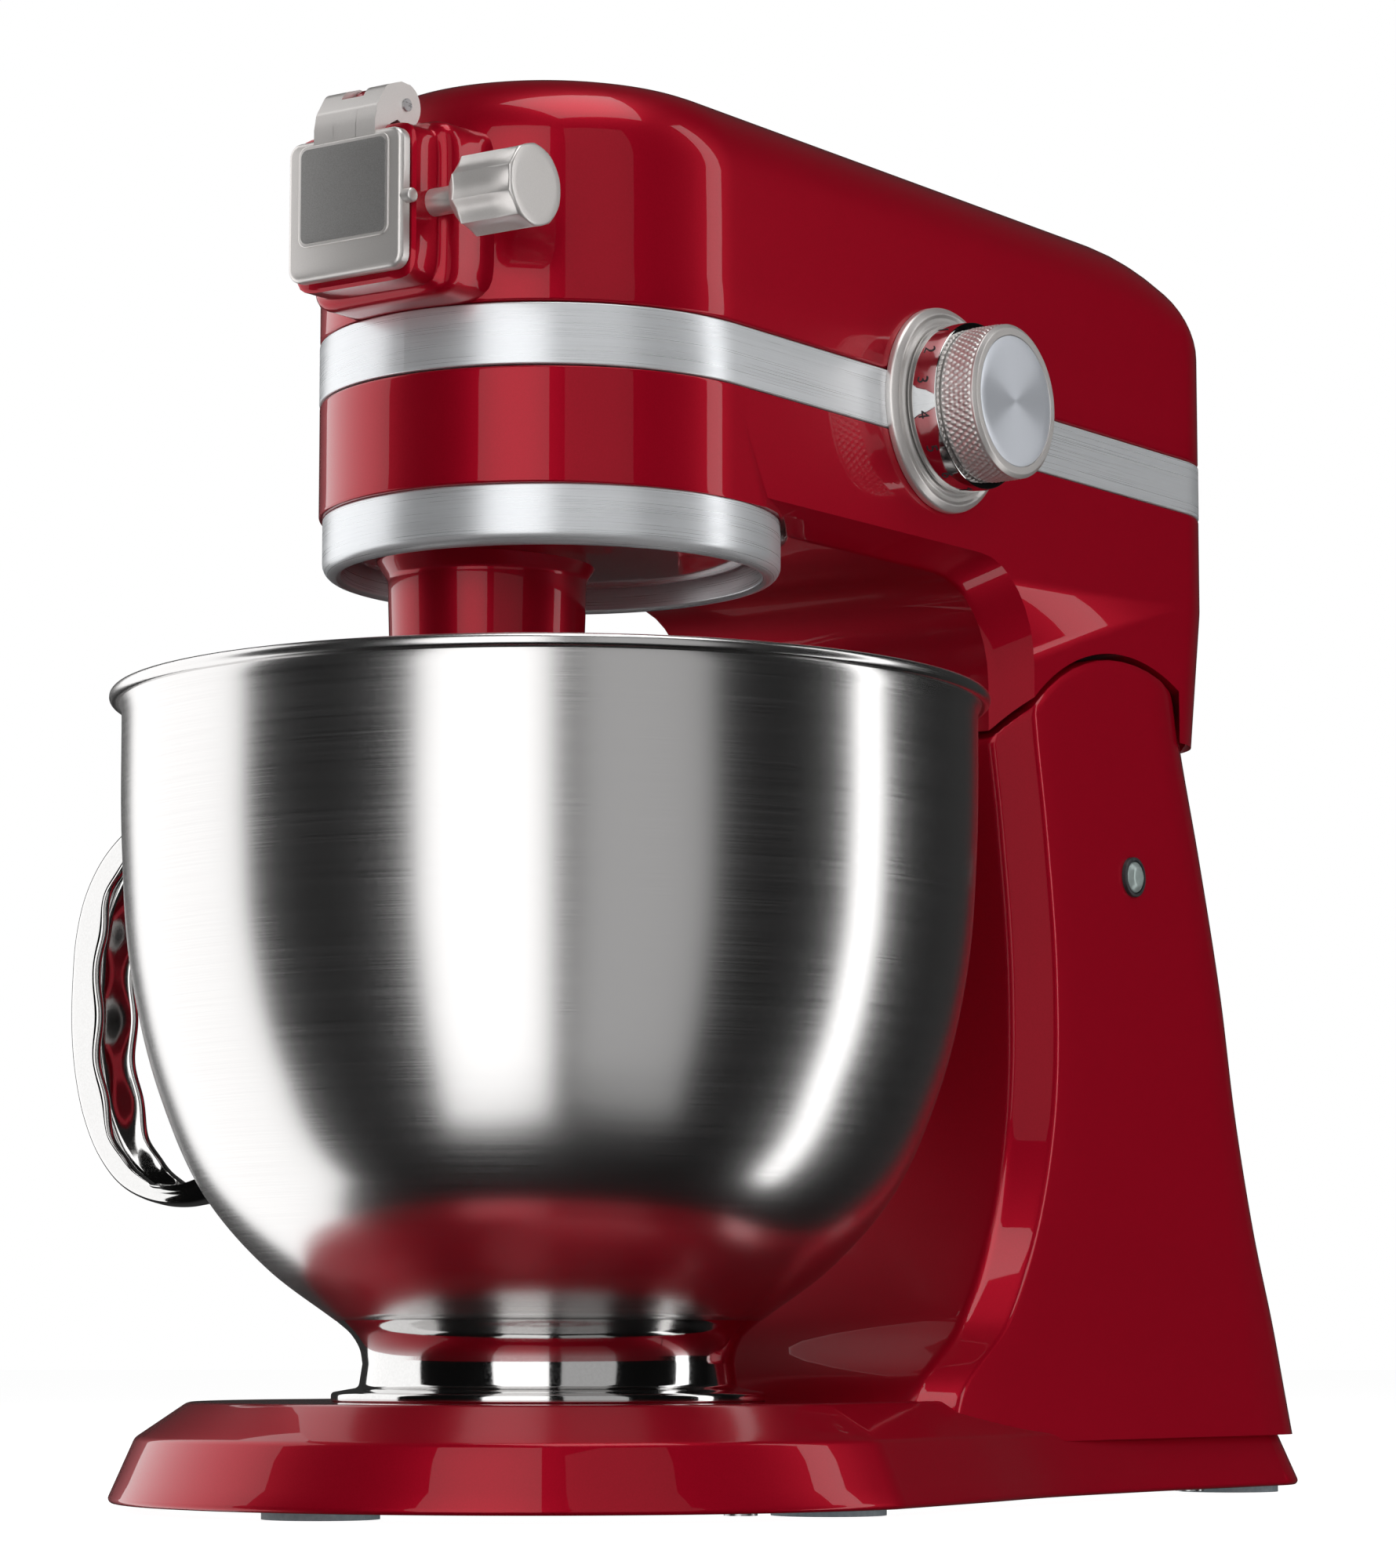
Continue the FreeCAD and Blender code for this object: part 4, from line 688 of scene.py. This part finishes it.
def knurledRing():
    # Two crossing helices of ridges multiply into small diamonds on the barrel.
    count, rows = 420, 34
    t = np.linspace(0, 2 * math.pi, count, endpoint=False)
    x = np.linspace(71.3, 80.4, rows)
    a, b = 70 * t[None] + 2.2 * x[:, None], 70 * t[None] - 2.2 * x[:, None]
    fade = np.clip((x - 71.3) / 0.5, 0, 1) * np.clip((80.4 - x) / 0.5, 0, 1)
    r = 20.2 + 0.3 * np.abs(np.sin(a / 2) * np.sin(b / 2)) * fade[:, None] * 1.6
    start = rounded([(0, 71.0), (19.6, 71.0, 0.3), (20.2, 71.3)], 3, 1)
    end = rounded([(20.2, 80.5), (20.5, 80.7, 0.1), (20.5, 81.2, 0.3), (19.4, 82.0, 0.5),
                   (17.6, 82.0), (17.5, 81.4), (0, 81.4)], 4, 1)
    r = np.concatenate([np.broadcast_to(start[:, 0][:, None], (len(start), count)), r,
                        np.broadcast_to(end[:, 0][:, None], (len(end), count))])
    x = np.concatenate([start[:, 1], x, end[:, 1]])
    points = np.stack([np.broadcast_to(x[:, None], r.shape), dial["y"] + r * np.cos(t),
                       dial["z"] + r * np.sin(t)], axis=2)
    return points.reshape(-1, 3), gridFaces(len(r), count)


place("dialKnob", knurledRing(), "speed_dial", "satin_nickel", ["dial_knob"], crisp=40)
tree, surface = shader("dial_face", (0.74, 0.77, 0.83), 0.6, 0.3)
new, link = tree.nodes.new, tree.links.new
where = new("ShaderNodeTexCoord")
centred = new("ShaderNodeMapping")
centred.inputs["Location"].default_value = (0, -dial["y"] * mm, -dial["z"] * mm)
centred.inputs["Scale"].default_value = (0, 1, 1)
length = new("ShaderNodeVectorMath")
length.operation = "LENGTH"
rings = new("ShaderNodeTexNoise")
rings.noise_dimensions = "1D"
rings.inputs["Scale"].default_value = 4000
shine = new("ShaderNodeMapRange")
shine.inputs["To Min"].default_value, shine.inputs["To Max"].default_value = 0.26, 0.36
across = new("ShaderNodeVectorMath")
across.operation = "CROSS_PRODUCT"
across.inputs[1].default_value = (1, 0, 0)
link(where.outputs["Object"], centred.inputs["Vector"])
link(centred.outputs["Vector"], length.inputs[0])
link(length.outputs["Value"], rings.inputs["W"])
link(rings.outputs["Fac"], shine.inputs["Value"])
link(shine.outputs["Result"], surface.inputs["Roughness"])
link(centred.outputs["Vector"], across.inputs[0])
link(across.outputs["Vector"], surface.inputs["Tangent"])
surface.inputs["Anisotropic"].default_value = 0.85
faceProfile = rounded([(0, 81.3), (17.4, 81.3), (17.4, 81.9, 0.2), (0, 81.9)], 3, 6)
facePiece = place("dialFace", lathe(faceProfile, 160, dialCentre, "x", closed=False),
                  "speed_dial", "satin_nickel", ["dial_face"])
facePiece.data.materials[0] = finishes["dial_face"]

for i, mark in enumerate(dial["digits"]):
    text = bpy.data.curves.new("digit" + mark, "FONT")
    text.body, text.size, text.extrude = mark, dial["digitSize"], 0.06
    text.align_x, text.align_y = "CENTER", "CENTER"
    holder = bpy.data.objects.new("holder", text)
    bpy.context.scene.collection.objects.link(holder)
    bpy.context.view_layer.update()
    mesh = bpy.data.meshes.new_from_object(holder.evaluated_get(bpy.context.evaluated_depsgraph_get()))
    bpy.data.objects.remove(holder)
    co = np.zeros(len(mesh.vertices) * 3)
    mesh.vertices.foreach_get("co", co)
    co = co.reshape(-1, 3)
    middle = math.radians(dial["firstDegrees"] + dial["stepDegrees"] * i)
    angle = middle + co[:, 0] / 22.4  # read along the turn
    radius = 22.45 + co[:, 2]
    spots = np.stack([66.8 + co[:, 1], dial["y"] + radius * np.cos(angle),
                      dial["z"] + radius * np.sin(angle)], axis=1)
    mesh.vertices.foreach_set("co", (spots * mm).ravel())
    tidyMesh(mesh)
    digit = bpy.data.objects.new("dialDigit" + mark, mesh)
    bpy.context.scene.collection.objects.link(digit)
    mesh.materials.clear()
    mesh.materials.append(finishes["black_plastic"])
    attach(digit, "speed_dial")
print("stand mixer: dial made")

# ---- release button ----

buttonProfile = rounded([(0, 52.5), (button["radius"], 52.5), (button["radius"], 60.2, 0.9),
                         (2.6, 61.4, 1.5), (0, 61.5)], 5, 2)
place("releaseButton", lathe(buttonProfile, 64, (0, button["y"], button["z"]), "x", closed=False),
      "release_button", "grey_button", ["release_button"], crisp=50)
collar = rounded([(4.6, 57), (5.6, 57), (5.6, 60.4, 0.3), (4.6, 60.4)], 3, 1)
place("buttonCollar", lathe(collar, 64, (0, button["y"], button["z"]), "x"), "base", "black_plastic")
print("stand mixer: release button made")

# ---- CAD pieces that stay as they are ----

slotOfNode = {s.get("node") or s.get("name"): s.get("material_slot") or s.get("material")
              for s in frame["record"].get("subparts", [])}
for name, node in frame["nodes"].items():
    wanted = slotOfNode.get(name)
    node.data.materials.clear()
    node.data.materials.append(finishes.get(wanted, finishes["steel"]))
print("stand mixer: CAD pieces finished")

# ---- floor, light and camera ----

studio = {"floor": 0.2, "glow": 0.98, "lens": 108.1, "heading": 35.61, "pitch": 6.87,
          "eye": (0.7246, -0.9473, 0.0392), "dim": 0.08, "behind": 0.62}
heading, pitch = math.radians(studio["heading"]), math.radians(studio["pitch"])


def stagePiece(name, points, faces, white, glow):
    # A plain pale surface of the studio that the lens sees but the mixer doesn't mirror.
    paper = bpy.data.materials.new(name)
    paper.use_nodes = True
    surface = paper.node_tree.nodes["Principled BSDF"]
    surface.inputs["Base Color"].default_value = (white, white, white, 1)
    surface.inputs["Roughness"].default_value = 0.9
    surface.inputs["Specular IOR Level"].default_value = 0.0
    surface.inputs["Emission Color"].default_value = (1, 1, 1, 1)
    surface.inputs["Emission Strength"].default_value = glow
    mesh = bpy.data.meshes.new(name)
    mesh.from_pydata(points, [], faces)
    mesh.materials.append(paper)
    thing = bpy.data.objects.new(name, mesh)
    bpy.context.scene.collection.objects.link(thing)
    thing.visible_glossy = thing.visible_diffuse = thing.visible_shadow = False
    return thing


stagePiece("floor", [(-9, -9, 0), (9, -9, 0), (9, 9, 0), (-9, 9, 0)], [[0, 1, 2, 3]],
           studio["floor"], studio["glow"])
t = np.linspace(0, 2 * math.pi, 48, endpoint=False)
wall = np.concatenate([np.stack([8.9 * np.cos(t), 8.9 * np.sin(t), np.full(48, z)], axis=1)
                       for z in (-0.01, 9.0)])
stagePiece("backdrop", wall.tolist(), gridFaces(2, 48).tolist(), 0.0, 1.0)

world = bpy.data.worlds.new("studioWorld")
world.use_nodes = True
nodes, link = world.node_tree.nodes, world.node_tree.links.new
looking = nodes.new("ShaderNodeTexCoord")
facing = nodes.new("ShaderNodeVectorMath")
facing.operation = "DOT_PRODUCT"
facing.inputs[1].default_value = (-math.sin(heading), math.cos(heading), 0.1)
fall = nodes.new("ShaderNodeMapRange")
fall.inputs["From Min"].default_value, fall.inputs["From Max"].default_value = 0.45, 0.8
fall.inputs["To Min"].default_value, fall.inputs["To Max"].default_value = studio["dim"], studio["behind"]
link(looking.outputs["Generated"], facing.inputs[0])
link(facing.outputs["Value"], fall.inputs["Value"])
link(fall.outputs["Result"], nodes["Background"].inputs["Strength"])
bpy.context.scene.world = world


def softbox(name, around, distance, height, width, tall, glow):
    # An area light that stands at an angle from the camera's side; its power follows from how
    # bright a square metre of it looks.
    angle = math.radians(-52.6 + around)
    lamp = bpy.data.lights.new(name, "AREA")
    lamp.shape, lamp.size, lamp.size_y = "RECTANGLE", width, tall
    lamp.energy = glow * math.pi * width * tall
    thing = bpy.data.objects.new(name, lamp)
    bpy.context.scene.collection.objects.link(thing)
    thing.location = (distance * math.cos(angle), distance * math.sin(angle), height)
    aim = bpy.context.scene.cursor.location.copy()
    aim.x, aim.y, aim.z = 0.0, 0.04, height if tall > 2 else 0.2
    thing.rotation_euler = (aim - thing.location).to_track_quat("-Z", "Y").to_euler()
    return thing


softbox("leftBox", -116, 1.6, 0.3, 1.9, 4.0, 1.5)
softbox("frontBox", -17, 2.0, 0.4, 1.25, 4.0, 1.75)
softbox("frontFill", 25, 2.2, 0.4, 1.35, 4.0, 0.5)
softbox("rightStrip", 90, 1.8, 0.4, 0.34, 4.0, 2.6)
sideGlow = softbox("sideGlow", 66, 1.7, 0.5, 1.8, 3.0, 1.25)
sideGlow.visible_glossy = False
softbox("topBox", 40, 0.35, 1.7, 0.9, 0.9, 3.0)

lens = bpy.data.cameras.new("studioCamera")
lens.lens, lens.sensor_width, lens.sensor_fit = studio["lens"], 36.0, "AUTO"
lens.clip_start, lens.clip_end = 0.05, 60
camera = bpy.data.objects.new("studioCamera", lens)
bpy.context.scene.collection.objects.link(camera)
camera.location = studio["eye"]
camera.rotation_euler = (math.radians(90) + pitch, 0, heading)
bpy.context.scene.camera = camera
bpy.context.scene.view_settings.view_transform = "Standard"

print("stand mixer: finished")
